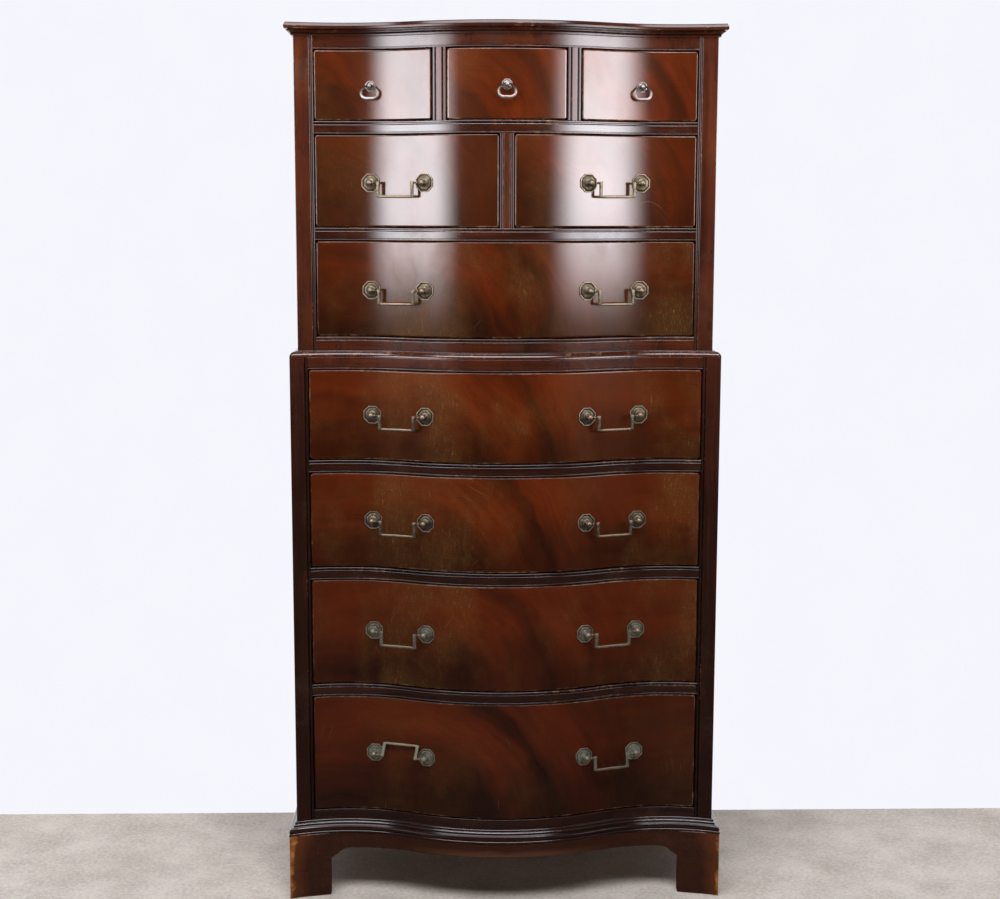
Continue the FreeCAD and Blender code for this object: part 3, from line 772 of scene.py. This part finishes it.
def posts_tree():
    """Tree that stands a post on each point, turned about Z by the point's turn."""
    g, points, keys = new_tree("pull_posts", {"Post": "Object", "Metal": "Material"})
    shape = g.node("GeometryNodeObjectInfo", {}, {"Object": points.other("Post")}, "Geometry")
    turn = g.node("GeometryNodeInputNamedAttribute", {"data_type": "FLOAT"}, {"Name": "turn"})
    outward = g.node("FunctionNodeEulerToRotation", {}, {0: g.vector(math.pi / 2, 0.0, turn)})
    stood = g.node("GeometryNodeInstanceOnPoints", {},
                   {"Points": points, "Instance": shape, "Rotation": outward})
    end_tree(g, stood, points.other("Metal"))
    return g.tree, keys


POSTS, POSTS_KEYS = posts_tree()


def posts(name, seats, shape, metal):
    """The posts of a drawer's pulls."""
    mesh = bpy.data.meshes.new(name)
    mesh.from_pydata([point for point, normal, turn in seats], [], [])
    store(mesh, "turn", [turn for point, normal, turn in seats])
    values = {POSTS_KEYS["Post"]: shape, POSTS_KEYS["Metal"]: metal}
    settle(through_tree(name + "_pull_posts", mesh, POSTS, values), name, [name + "_posts"])


def bar(points, sizes, sides, square=2.0):
    """A bar along points, with (half width, half thickness, wear) in millimetres at each.

    Its section is round where square is 2 and nearer a rectangle where it is more.
    """
    rings = []
    points = [Vector(point) for point in points]
    up = Vector((0, 1, 0))
    for k, (point, (wide, thick, wear)) in enumerate(zip(points, sizes)):
        along = (points[min(k + 1, len(points) - 1)] - points[max(k - 1, 0)]).normalized()
        side = along.cross(up).normalized()
        ring = []
        for j in range(sides):
            t = 2 * math.pi * (j + 0.5) / sides
            c, s = math.cos(t), math.sin(t)
            u = math.copysign(abs(c) ** (2 / square), c) * wide * MM
            v = math.copysign(abs(s) ** (2 / square), s) * thick * MM
            ring.append((*(point + side * u + up * v), 0.0, wear))
        rings.append(ring)
    return tube(rings)


# A bail's leg in millimetres, as (height, half width, half thickness, wear), and the right half of its bar,
# as (share of the reach, half width, wear)
BAIL_LEG = [(2.4, 2.7, 2.0, 0), (2.0, 3.2, 2.2, 0.4), (-2.6, 3.3, 2.2, 0.4), (-5.0, 3.0, 2.1, 0),
            (-19.0, 2.9, 1.8, 0), (-23.2, 3.2, 1.6, 0.3), (-25.6, 3.2, 1.3, 0.5), (-26.2, 2.8, 1.0, 0.5)]
BAR_HALF = [(0.0, 2.7, 1.0), (0.3, 2.6, 1.0), (0.6, 2.5, 0.7), (0.93, 2.3, 0.3), (1.0, 2.2, 0.3)]


def bail_skins(half):
    """A hanging bail about its hinge axis, X across and Z up: pins, collars, legs and a bar that swells."""
    leg = half - LEG_INSET
    shoulder = half - BALL - 0.5 * MM
    stem = [(leg - 2.4 * MM, 2.0, 0), (leg + 3.2 * MM, 2.2, 0), (leg + 3.4 * MM, 2.0, -0.5),
            (shoulder - 2.6 * MM, 2.0, -0.5), (shoulder - 2.4 * MM, 2.8, 0.5), (shoulder, 2.8, 0.5),
            (shoulder + 0.2 * MM, 1.5, -1), (shoulder + 3 * MM, 1.5, -1)]
    skins = []
    for side in (-1, 1):
        skins.append(bar([(side * x, 0, 0) for x, radius, wear in stem],
                         [(radius, radius, wear) for x, radius, wear in stem], 14))
        skins.append(bar([(side * leg, 0, z * MM) for z, wide, thick, wear in BAIL_LEG],
                         [(wide, thick, wear) for z, wide, thick, wear in BAIL_LEG], 16, LEG_SQUARE))
    run = [(-s, wide, wear) for s, wide, wear in BAR_HALF[:0:-1]] + BAR_HALF
    skins.append(bar([(s * leg, 0, -BAIL_DROP) for s, wide, wear in run],
                     [(wide, BAIL_BAR, wear) for s, wide, wear in run], 16))
    return skins


def ring_skins():
    """A hanging ring about its hinge axis: pins, sides that spread downwards and a heavy round bottom."""
    right = [(0.95 * RING_HALF, -RING_DROP, 9 * MM), (1.05 * RING_HALF, -0.42 * RING_DROP, 6 * MM),
             (6.4 * MM, 0.0, 3 * MM)]
    corners = [(-x, z, radius) for x, z, radius in reversed(right)] + right
    path = [(x, 0, z) for x, z, wear in rounded(corners, 7, 0.0) if z < -0.1 * MM or abs(x) > 4 * MM]
    path = [(-RING_PIN, 0, 0)] + path + [(RING_PIN, 0, 0)]
    sizes = []
    for x, y, z in path:
        share = -z / RING_DROP
        radius = 1.7 + 1.3 * share
        sizes.append((radius, radius, 2 * share - 1))
    return [bar(path, sizes, 14)]


def swinging_piece(name, skins, centre, across, tilt, metal):
    """A bail or ring at its hinge axis, turned about it by tilt."""
    outward = across.cross(Vector((0, 0, 1)))
    turn = Matrix((across, -outward, Vector((0, 0, 1)))).transposed() @ Matrix.Rotation(tilt, 3, "X")
    placed = []
    for points, faces in skins:
        placed.append(([(*(turn @ Vector(point[:3]) + centre), 0.0, point[4]) for point in points], faces))
    made = tidy_mesh(name + "_cast", flat_mesh(name + "_cast", placed))
    made.data.materials.append(metal)
    settle(made, name, [name])


def hinge_axis(name):
    """Joint of a pull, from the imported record: a point on its axis, the axis, and its range in degrees."""
    for joint in frame["record"]["behaviour"]["joints"]:
        if joint["child"] == name:
            return Vector(joint["pos_m"]), -Vector(joint["axis"]), joint["range_deg"]
    raise KeyError(name)


def ring_pull(drawer, face, shape, metal):
    """The ring of a small drawer and its post."""
    ring = drawer.replace("drawer", "ring")
    centre, across, _ = hinge_axis(ring)
    spot = seat(fitted_x(centre, face), face, centre.z, RING_PLATE)
    posts(drawer, [spot], shape, metal)
    swinging_piece(ring, ring_skins(), centre, across, 0.0, metal)


def bail_pulls(drawer, row, face, shape, metal):
    """The bails of a drawer and their posts. A bail whose swing ends at its rest is turned up."""
    x0, x1 = drawer_opening(drawer)[:2]
    seats = []
    for side, hand in ((-1, "left"), (1, "right")):
        if not x0 < side * PULL_INNER < x1:
            continue
        bail = "bail_%d_%s" % (row, hand)
        centre, across, limits = hinge_axis(bail)
        pair = [seat(side * x, face, centre.z, ROSETTE) for x in (PULL_INNER, PULL_OUTER)]
        seats += pair
        balls = [point + normal * PIVOT_STAND for point, normal, turn in pair]
        half = (balls[1] - balls[0]).length / 2
        tilt = math.radians(limits[0] + BAIL_LEAN) if limits[1] == 0 else 0.0
        swinging_piece(bail, bail_skins(half), centre, across, tilt, metal)
    posts(drawer, seats, shape, metal)


def pulls(metal, ring_metal):
    ball = ball_profile(PIVOT_STAND, BALL, -48)
    bail_post = post("bail_post", POST_PLATE, POST_DOME, ball, 28)
    ball = ball_profile(RING_STAND, RING_BALL, -40)
    ring_post = post("ring_post", RING_POST_PLATE, RING_POST_STEM, ball, 24)
    for row, names in ROWS.items():
        for name in names:
            if row == RING_ROW:
                ring_pull(name, drawer_face(row), ring_post, ring_metal)
            else:
                bail_pulls(name, row, drawer_face(row), bail_post, metal)
    bpy.data.objects.remove(bail_post)
    bpy.data.objects.remove(ring_post)


# Materials

# Veneer of the drawer fronts, from its dark to its light streaks, what has happened to its finish, and a
# painted sheen on its dull patches
VENEER = [(0.10, (0.017, 0.0031, 0.0007, 1)), (0.36, (0.049, 0.0073, 0.0011, 1)),
          (0.58, (0.094, 0.0124, 0.0014, 1)), (0.86, (0.164, 0.0258, 0.0030, 1))]
VENEER_PORES = (0.020, 0.006, 0.003, 1)
# Colour of the dull patches: partly the real dull finish, partly a painted sheen for the blurred reflection
# of the softboxes
DULL_FINISH_AND_SHEEN = (0.112, 0.049, 0.011, 1)
DUST_FLECKS = (0.250, 0.150, 0.060, 1)
SCUFFS = (0.330, 0.240, 0.140, 1)
HAIRLINES = (0.30, 0.20, 0.11, 1)
RUBBED_VENEER = (0.34, 0.20, 0.12, 1)
DENTS = (0.24, 0.14, 0.07, 1)
PAINT_SPECKS = (0.52, 0.49, 0.42, 1)
# The feather starts this far to the left of a leaf's middle and this far below it
FEATHER_LEFT = 0.19
FEATHER_BELOW = 0.13

# Solid wood of the case, low and high on the chest, its wear, and the painted shade in its quirks
LOW_WOOD = [(0.20, (0.012, 0.0040, 0.0026)), (0.55, (0.030, 0.0090, 0.0048)),
            (0.90, (0.056, 0.0170, 0.0075))]
HIGH_WOOD = [(0.20, (0.034, 0.0090, 0.0044)), (0.55, (0.092, 0.0215, 0.0085)),
             (0.90, (0.150, 0.0400, 0.0140))]
GRIME = (0.012, 0.006, 0.004, 1)
CASE_PORES = (0.010, 0.004, 0.003, 1)
DULL_CASE = (0.085, 0.052, 0.034, 1)
RUBBED_ARRIS = (0.30, 0.165, 0.080, 1)
# Painted shade: near black laid into quirks and inner corners
QUIRK_PAINTED_SHADE = (0.005, 0.003, 0.002, 1)

# Bracket base
BRACKET_BROWN = (0.085, 0.022, 0.006, 1)
THIN_FINISH = (0.150, 0.040, 0.010, 1)
BARE_DARK = (0.28, 0.092, 0.018, 1)
BARE_LIGHT = (0.52, 0.230, 0.066, 1)
APRON_DUST = (0.150, 0.066, 0.030, 1)

# Plain wood and brass
PLAIN_WOOD = [(0.30, (0.16, 0.085, 0.04, 1)), (0.5, (0.30, 0.175, 0.085, 1)), (0.7, (0.42, 0.27, 0.14, 1))]
WOOD_DIRT = (0.10, 0.06, 0.035, 1)
COPPER = (0.44, 0.235, 0.165, 1)
VERDIGRIS = (0.20, 0.225, 0.165, 1)
BRASS_DIRT = (0.020, 0.016, 0.011, 1)

# Floor, wall and lamps
FLOOR_LIGHT = (0.880, 0.810, 0.715, 1)
FLOOR_DARK = (0.560, 0.500, 0.425, 1)
FLOOR_MIRRORED = (0.008, 0.008, 0.008, 1)
WALL_WHITE = (0.925, 0.928, 0.988, 1)
WALL_SHADE = (0.910, 0.914, 0.978, 1)
WALL_PAINT = (0.8, 0.8, 0.82, 1)
ROOM_AIR = (0.93, 0.94, 1.0, 1)
LAMP_WHITE = (0.945, 0.94, 1.0)


def new_material(name):
    material = bpy.data.materials.new(name)
    material.use_nodes = True
    material.node_tree.nodes.clear()
    return material, Graph(material.node_tree)


def finish_material(g, sockets):
    """Principled surface with those values, wired to the output."""
    shader = g.node("ShaderNodeBsdfPrincipled", {}, sockets)
    g.node("ShaderNodeOutputMaterial", {}, {"Surface": shader})


def bump(g, height, strength, distance):
    return g.node("ShaderNodeBump", {}, {"Height": height, "Strength": strength, "Distance": distance})


def specks(g, spot, scale, rarity, small, large):
    """Scattered dots: those cells of a Voronoi pattern that a white noise picks out."""
    cell = g.node("ShaderNodeTexVoronoi", {}, {"Vector": spot, "Scale": scale})
    chance = g.node("ShaderNodeTexWhiteNoise", {"noise_dimensions": "3D"},
                    {"Vector": cell.other("Position")})
    return (1.0 - g.step(cell, small, large)) * chance.math("GREATER_THAN", rarity)


def figured_mahogany():
    """Drawer fronts: veneer with a feather figure, under an old gloss with scuffs and rubbed edges."""
    material, g = new_material("figured_mahogany")
    run, _, z = g.parts(g.attribute("grain", "Vector"))
    mid_x, mid_z, seed = g.parts(g.attribute("leaf", "Vector"))
    wear = g.attribute("wear")
    u, w = run - mid_x, z - mid_z
    spot = g.vector(run, z, seed)
    # A seed is the row's number and a little more for each leaf to the right
    below_small = g.step(seed, 1.9, 3.0)
    wide = g.step(seed, 2.4, 2.9)
    low_rows = g.step(seed, 4.4, 5.6)
    lowest = g.step(seed, 6.2, 6.8)
    # Feather: a light band and a dark streak that circle a point low on the left of each leaf
    wander = g.noise(spot, 5.0, 2.0) - 0.5
    ripple = g.noise(spot, 19.0, 3.0) - 0.5
    du, dw = u + FEATHER_LEFT + wander * 0.05, w + FEATHER_BELOW + wander * 0.06
    reach = (du * du + dw * dw).math("SQRT") + ripple * 0.016
    angle = dw.math("ARCTAN2", du)
    band = g.curve(reach, (0.06, 0.26), (0.16, 0.42), (0.200, 0.82), (0.262, 0.56), (0.284, 0.12),
                   (0.304, 0.60), (0.35, 0.72), (0.46, 0.46), (0.60, 0.36))
    broad = g.noise(g.vector(reach * 60.0, angle * 2.2, seed * 1.7), 1.0, 6.0, 0.66, 0.7)
    straight = g.noise(g.vector(run * 2.6, z * 42.0 + wander * 4.0, seed), 1.0, 5.0, 0.62, 0.4)
    cloud = g.noise(spot, 8.0, 3.0, 0.6)
    feather = 1.0 - g.step(u.math("ABSOLUTE"), 0.06, 0.34) * 0.8
    streak = straight + (broad - straight) * feather
    sunk = g.step(0.0 - w + wander * 0.16, -0.03, 0.10) * below_small
    tone = g.attribute("stain") + (band - 0.5) * feather * (0.48 + lowest * 0.22)
    tone = tone + (streak - 0.5) * 0.66 + (cloud - 0.5) * 0.30 - sunk * 0.31
    tone = tone - lowest * g.step(u, -0.16, -0.04) * 0.10
    lines = g.noise(g.vector(run * 9.0, z * 420.0, seed), 1.0, 3.0, 0.6)
    # Finish gone dull in patches, with upright scuffs and hairlines in them; the patches are also painted
    # lighter, most a little left of each leaf's middle and at its right end, as a painted sheen for the
    # blurred reflection of the softboxes
    dull_and_sheen_spots = g.step(u, 0.20, 0.34) + (1.0 - g.step((u + 0.17).math("ABSOLUTE"), 0.04, 0.14)) * 1.2
    patch = g.noise(g.vector(run, z * 0.6, seed * 3.1), 10.0, 5.0, 0.68) + (dull_and_sheen_spots - 0.35) * 0.13
    dull = g.step(patch, 0.40, 0.80) * (0.4 + wide * 0.6 - lowest * 0.55)
    strokes = g.noise(g.vector(run * 420.0, z * 62.0, seed), 1.0, 4.0, 0.65, 1.2)
    scuff = g.step(dull, 0.16, 0.75) * g.step(strokes, 0.56, 0.72)
    flecks = g.step(g.noise(g.vector(run * 1.6, z, seed), 300.0, 3.0, 0.7), 0.56, 0.70)
    lean = g.noise(spot, 2.2, 1.0) * 1.3 - 0.65
    hairs = g.noise(g.vector(run * 560.0 + z * 560.0 * lean, z * 13.0, seed), 1.0, 1.0)
    hair_patch = g.noise(g.vector(run, z, seed * 2.3), 10.0, 2.0)
    hairs = g.step(hairs, 0.71, 0.76) * g.step(hair_patch, 0.50, 0.64)
    # Rubbed edges, small dents and specks of paint
    rub = wear * 0.50 + g.noise(spot, 90.0, 4.0, 0.65) * 0.55 + g.noise(spot, 7.0, 2.0) * 0.45
    rub = g.step(rub, 0.98, 1.16)
    dent = specks(g, spot, 19.0, 0.86, 0.022, 0.040)
    paint_spots = specks(g, spot, 37.0, 0.90, 0.030, 0.050) * g.step(u, 0.16, 0.34) * low_rows
    colour = g.layers(g.ramp(tone, *VENEER),
                      (VENEER_PORES, g.step(lines, 0.52, 0.76) * 0.38),
                      (DULL_FINISH_AND_SHEEN, dull * (0.20 + strokes * 0.40)),
                      (DUST_FLECKS, dull * flecks * 0.50),
                      (SCUFFS, scuff * 0.30),
                      (HAIRLINES, hairs * 0.30),
                      (RUBBED_VENEER, rub * 0.7),
                      (DENTS, dent * 0.7),
                      (PAINT_SPECKS, paint_spots * 0.8))
    height = lines * 0.55 + g.noise(spot, 30.0, 3.0) * 1.1 - dent * 2.0 - scuff * 0.5 - hairs * 0.6
    finish_material(g, {"Base Color": colour, "Roughness": 0.38 + dull * 0.06 + scuff * 0.06 + rub * 0.15,
                        "Coat Weight": 0.95 - dull * 0.60 - rub * 0.3, "Coat Roughness": 0.10,
                        "Coat IOR": 1.7, "IOR": 1.5, "Specular IOR Level": 0.33,
                        "Specular Tint": (1.0, 0.50, 0.26, 1), "Normal": bump(g, height, 0.30, 0.0005)})
    return material


def lit(stops, light):
    """Stops of a ramp with their colours made lighter or darker."""
    return [(place, (r * light, g * light, b * light, 1)) for place, (r, g, b) in stops]


def case_mahogany(name, light, gloss=0.9, mirror=1.6, rise=1.40, upright_grain=False, from_object=False):
    """Rails, stiles, mouldings and boards: plain dark mahogany with rubbed arrises and painted shade in the
    quirks.

    Front pieces grow lighter up to the height rise. The side boards, CAD nodes, keep one colour.
    """
    material, g = new_material(name)
    spot = g.place() if from_object else g.attribute("grain", "Vector")
    x, y, z = g.parts(spot)
    along, across = (z, x) if upright_grain else (x, z)
    wander = g.noise(spot, 3.0, 2.0) - 0.5
    streak = g.noise(g.vector(along * 2.4, across * 75.0 + wander * 3.0, y * 75.0), 1.0, 5.0, 0.6, 0.3)
    cloud = g.noise(spot, 6.0, 3.0)
    tone = 0.5 + (streak - 0.5) * 0.9 + (cloud - 0.5) * 0.8
    colour = g.ramp(tone, *lit(HIGH_WOOD, light))
    if not from_object:
        colour = g.layers(g.ramp(tone, *lit(LOW_WOOD, 1.0)), (colour, g.step(z, 0.75, rise)))
    grime = g.step(g.noise(g.vector(x * 1.5, y, z * 0.5), 26.0, 5.0, 0.70), 0.46, 0.70)
    lines = g.noise(g.vector(along * 9.0, across * 520.0, y * 520.0), 1.0, 3.0, 0.6)
    dull = g.step(g.noise(spot, 11.0, 3.0, 0.6), 0.52, 0.74)
    colour = g.layers(colour, (GRIME, grime * 0.55), (CASE_PORES, g.step(lines, 0.52, 0.76) * 0.35),
                      (DULL_CASE, dull * 0.16))
    rough = 0.22 + dull * 0.16
    if not from_object:
        wear = g.attribute("wear")
        fleck = g.noise(spot, 110.0, 4.0, 0.68)
        patch = g.noise(spot, 6.0, 3.0)
        rub = g.step(wear * 0.5 + fleck * 0.60 + patch * 0.50, 1.08, 1.24)
        # Painted shade: where wear is below 0, in quirks, inner corners and the clockwise upright beads, the
        # wood goes near black
        painted_crevice_shade = g.step(0.0 - wear, 0.2, 0.9)
        colour = g.layers(colour, (RUBBED_ARRIS, rub * 0.75), (QUIRK_PAINTED_SHADE, painted_crevice_shade * 0.85))
        rough = rough + rub * 0.25
    height = lines * 0.5 + g.noise(spot, 30.0, 2.0)
    finish_material(g, {"Base Color": colour, "Roughness": rough, "Coat Weight": gloss * (1.0 - dull * 0.3),
                        "Coat Roughness": 0.11, "Coat IOR": mirror, "IOR": 1.5, "Specular IOR Level": 0.2,
                        "Normal": bump(g, height, 0.30, 0.0005)})
    return material


def bracket_mahogany():
    """The bracket base: as the case, rubbed through to bare wood on the outer corners of the feet."""
    material = case_mahogany("bracket_mahogany", 0.6)
    g = Graph(material.node_tree)
    shader = next(node for node in g.tree.nodes if node.type == "BSDF_PRINCIPLED")
    case_colour = Value(g, shader.inputs["Base Color"].links[0].from_socket)
    spot = g.place()
    x, _, z = g.parts(spot)
    outer = extent("bracket_base")[2]
    broad = g.noise(spot, 30.0, 5.0, 0.70) - 0.5
    left = 1.0 - g.step(x, -0.1, 0.1)
    edge = x.math("ABSOLUTE") + broad * 0.030 + left * 0.003 + g.step(z, 0.090, 0.125) * left * 0.010
    bare = g.step(edge, outer - 0.006, outer + 0.001)
    thin = g.step(edge + g.step(z, 0.070, 0.120) * 0.012, outer - 0.040, outer + 0.004)
    bare_wood = g.layers(BARE_DARK, (BARE_LIGHT, g.step(g.noise(spot, 70.0, 4.0), 0.40, 0.62)))
    low_edge = 1.0 - g.step(z + broad * 0.012, 0.104, 0.116)
    middle = (1.0 - g.step(x.math("ABSOLUTE"), 0.05, 0.24)) * low_edge
    colour = g.layers(case_colour, (BRACKET_BROWN, 0.30 + broad * 0.5), (THIN_FINISH, thin * 0.70),
                      (bare_wood, bare * 0.9), (APRON_DUST, middle * 0.55))
    g.tree.links.new(colour.socket, shader.inputs["Base Color"])
    return material


def plain_wood():
    """Bare secondary wood of the drawer boxes, runners and backs."""
    material, g = new_material("plain_wood")
    spot = g.place()
    x, y, z = g.parts(spot)
    wander = g.noise(spot, 3.0, 2.0) - 0.5
    streak = g.noise(g.vector(x * 30.0 + wander, y * 2.0, z * 38.0 + wander * 3.0), 1.0, 5.0, 0.6, 0.4)
    cloud = g.noise(spot, 4.0, 3.0)
    dirt = g.step(g.noise(spot, 7.0, 4.0, 0.65), 0.52, 0.78)
    colour = g.layers(g.ramp(streak * 0.6 + cloud * 0.4, *PLAIN_WOOD), (WOOD_DIRT, dirt * 0.45))
    height = g.noise(g.vector(x * 220.0, y * 14.0, z * 420.0), 1.0, 3.0)
    finish_material(g, {"Base Color": colour, "Roughness": 0.62 + cloud * 0.2,
                        "Normal": bump(g, height, 0.5, 0.0004)})
    return material


def aged_brass(name, bright, dark):
    """Cast brass gone olive brown, greener low on the chest, rubbed on high spots and dirty in hollows."""
    material, g = new_material(name)
    spot = g.place()
    z = g.parts(spot)[2]
    wear = g.attribute("wear")
    blotch = g.noise(spot, 150.0, 4.0, 0.65)
    fine = g.noise(spot, 900.0, 3.0, 0.6)
    copper = g.step(wear, 0.3, 0.9) * g.step(g.noise(spot, 55.0, 2.0), 0.42, 0.60)
    green = g.step(g.noise(spot, 90.0, 4.0, 0.65) - wear * 0.10, 0.26, 0.60) * (1.0 - g.step(z, 0.35, 0.80))
    colour = g.layers(dark, (bright, g.step(blotch + wear * 0.22, 0.34, 0.74)), (COPPER, copper * 0.45),
                      (VERDIGRIS, green * 0.80), (BRASS_DIRT, g.step(0.0 - wear, 0.15, 0.9) * 0.80))
    finish_material(g, {"Base Color": colour, "Metallic": 0.90 - green * 0.60,
                        "Roughness": 0.38 + blotch * 0.16 + green * 0.22,
                        "Normal": bump(g, blotch + fine * 0.4, 0.4, 0.0003)})
    return material


# Camera, light and stage

CAMERA_PLACE = (-0.081, HOLLOW_Y - 3.090, 1.333)
CAMERA_TURN = (math.radians(81.74), math.radians(-0.11), math.radians(-1.29))
LENS = 58.93                # mm
SENSOR = 36.0               # mm wide
WALL_GAP = 0.006
STAGE_HALF = 6.0
STAGE_FRONT = -7.0
WALL_HEIGHT = 5.0


def mottled(g, light, dark):
    """A pale colour, a little mottled."""
    place = g.place()
    mottle = g.noise(place, 7.0, 6.0, 0.65) * 0.5 + g.noise(place, 130.0, 4.0, 0.7) * 0.5
    return g.layers(dark, (light, g.step(mottle, 0.34, 0.64)))


def floor_material():
    """Pale floor, dark in the gloss of the wood."""
    material, g = new_material("pale_floor")
    mirrored = g.node("ShaderNodeLightPath", {}, {}, "Is Glossy Ray")
    colour = g.layers(mottled(g, FLOOR_LIGHT, FLOOR_DARK), (FLOOR_MIRRORED, mirrored))
    finish_material(g, {"Base Color": colour, "Roughness": 0.7})
    return material


def wall_material():
    """White wall: lit by its own colour for the camera, and see-through from behind."""
    material, g = new_material("white_wall")
    lit_paint = g.node("ShaderNodeBsdfDiffuse", {}, {"Color": WALL_PAINT})
    glow = g.node("ShaderNodeEmission", {}, {"Color": mottled(g, WALL_WHITE, WALL_SHADE), "Strength": 1.0})
    path = g.node("ShaderNodeLightPath", {}, {}, "Is Camera Ray")
    seen = path.math("MAXIMUM", path.other("Is Glossy Ray"))
    seen = seen.math("MAXIMUM", path.other("Is Transmission Ray"))
    front = g.node("ShaderNodeMixShader", {}, {0: seen, 1: lit_paint, 2: glow})
    clear = g.node("ShaderNodeBsdfTransparent")
    behind = g.node("ShaderNodeNewGeometry", {}, {}, "Backfacing")
    surface = g.node("ShaderNodeMixShader", {}, {0: behind, 1: front, 2: clear})
    g.node("ShaderNodeOutputMaterial", {}, {"Surface": surface})
    return material


def plane(name, corners, material):
    mesh = bpy.data.meshes.new(name)
    mesh.from_pydata(corners, [], [range(len(corners))])
    mesh.materials.append(material)
    add_object(name, mesh)


def stage():
    """Floor, wall and the room's faint light."""
    half, front, wall, top = STAGE_HALF, STAGE_FRONT, BACK_Y + WALL_GAP, WALL_HEIGHT
    floor = [(-half, front, 0), (half, front, 0), (half, half, 0), (-half, half, 0)]
    plane("floor", floor, floor_material())
    plane("wall", [(-half, wall, 0), (half, wall, 0), (half, wall, top), (-half, wall, top)],
          wall_material())
    world = bpy.data.worlds.new("room")
    bpy.context.scene.world = world
    world.use_nodes = True
    world.node_tree.nodes.clear()
    g = Graph(world.node_tree)
    path = g.node("ShaderNodeLightPath", {}, {}, "Is Camera Ray")
    strength = 0.030 - path.other("Is Glossy Ray") * 0.025
    room = g.node("ShaderNodeBackground", {}, {"Color": ROOM_AIR, "Strength": strength})
    white = g.node("ShaderNodeBackground", {}, {"Color": WALL_WHITE, "Strength": 1.0})
    surface = g.node("ShaderNodeMixShader", {}, {0: path, 1: room, 2: white})
    g.node("ShaderNodeOutputWorld", {}, {"Surface": surface})


def softbox(name, place, aim, size, watts, beam, fade):
    """A lamp whose light fades out towards its edges, over those shares of its width and height."""
    light = bpy.data.lights.new(name, "AREA")
    light.shape = "RECTANGLE"
    light.size, light.size_y = size
    light.energy = watts
    light.spread = math.radians(beam)
    light.color = LAMP_WHITE
    light.use_nodes = True
    light.node_tree.nodes.clear()
    g = Graph(light.node_tree)
    u, v, _ = g.parts(g.node("ShaderNodeNewGeometry", {}, {}, "Parametric"))
    across = g.step(u, 0.0, fade[0]) * g.step(1.0 - u, 0.0, fade[0])
    upward = g.step(v, 0.0, fade[1]) * g.step(1.0 - v, 0.0, fade[1])
    glow = g.node("ShaderNodeEmission", {}, {"Strength": across * upward})
    g.node("ShaderNodeOutputLight", {}, {"Surface": glow})
    made = add_object(name, light)
    made.location = place
    made.rotation_euler = (Vector(aim) - Vector(place)).to_track_quat("-Z", "Y").to_euler()


def lights():
    """Two softboxes that the front mirrors as broad bands, and a lamp high in front."""
    softbox("softbox_left", (-2.17, -2.24, 1.74), (-0.2, -0.2, 2.30), size=(2.40, 1.70), watts=30, beam=74,
            fade=(0.36, 0.3))
    softbox("softbox_right", (2.36, -2.06, 1.74), (0.2, -0.2, 2.30), size=(3.10, 1.70), watts=41, beam=74,
            fade=(0.36, 0.3))
    softbox("high_front", (-0.3, -2.7, 4.6), (0.0, -0.3, 0.4), size=(5.0, 2.0), watts=262, beam=180,
            fade=(0.1, 0.1))


def camera():
    lens = bpy.data.cameras.new("camera")
    lens.lens = LENS
    lens.sensor_width = SENSOR
    made = add_object("camera", lens)
    made.location = CAMERA_PLACE
    made.rotation_euler = CAMERA_TURN
    bpy.context.scene.camera = made


def paint(names, material):
    """Give CAD nodes a finish."""
    for name in names:
        mesh = frame["nodes"][name].data
        mesh.materials.clear()
        mesh.materials.append(material)


def main():
    veneer = figured_mahogany()
    rail_wood = case_mahogany("rail_mahogany", 0.50, mirror=1.7)
    frame_wood = case_mahogany("frame_mahogany", 0.72, rise=1.06)
    stile_wood = case_mahogany("stile_mahogany", 0.90, gloss=0.5, upright_grain=True)
    side_wood = case_mahogany("side_mahogany", 0.8, gloss=0.32, mirror=1.5, upright_grain=True,
                              from_object=True)
    bare_wood = plain_wood()
    brass = aged_brass("aged_brass", (0.34, 0.27, 0.175, 1), (0.10, 0.082, 0.058, 1))
    ring_metal = aged_brass("grey_brass", (0.52, 0.48, 0.45, 1), (0.15, 0.135, 0.12, 1))
    face_frame("lower_face_frame", LOWER, LOWER_ROWS, rail_wood, frame_wood, stile_wood)
    face_frame("upper_face_frame", UPPER, UPPER_ROWS, rail_wood, frame_wood, stile_wood)
    top_board(case_mahogany("top_mahogany", 0.55, gloss=0.4))
    waist_moulding(frame_wood)
    base_moulding(case_mahogany("base_mahogany", 0.5, mirror=1.9))
    bracket_base(bracket_mahogany())
    for row, names in ROWS.items():
        for name in names:
            drawer_front(name, row, veneer)
            paint([name + "_box"], bare_wood)
    pulls(brass, ring_metal)
    paint(["lower_side_left", "lower_side_right", "upper_side_left", "upper_side_right"], side_wood)
    paint(["lower_back", "upper_back", "lower_runners", "upper_runners", "waist_board"], bare_wood)
    stage()
    lights()
    camera()
    bpy.context.scene.view_settings.view_transform = "Standard"


main()
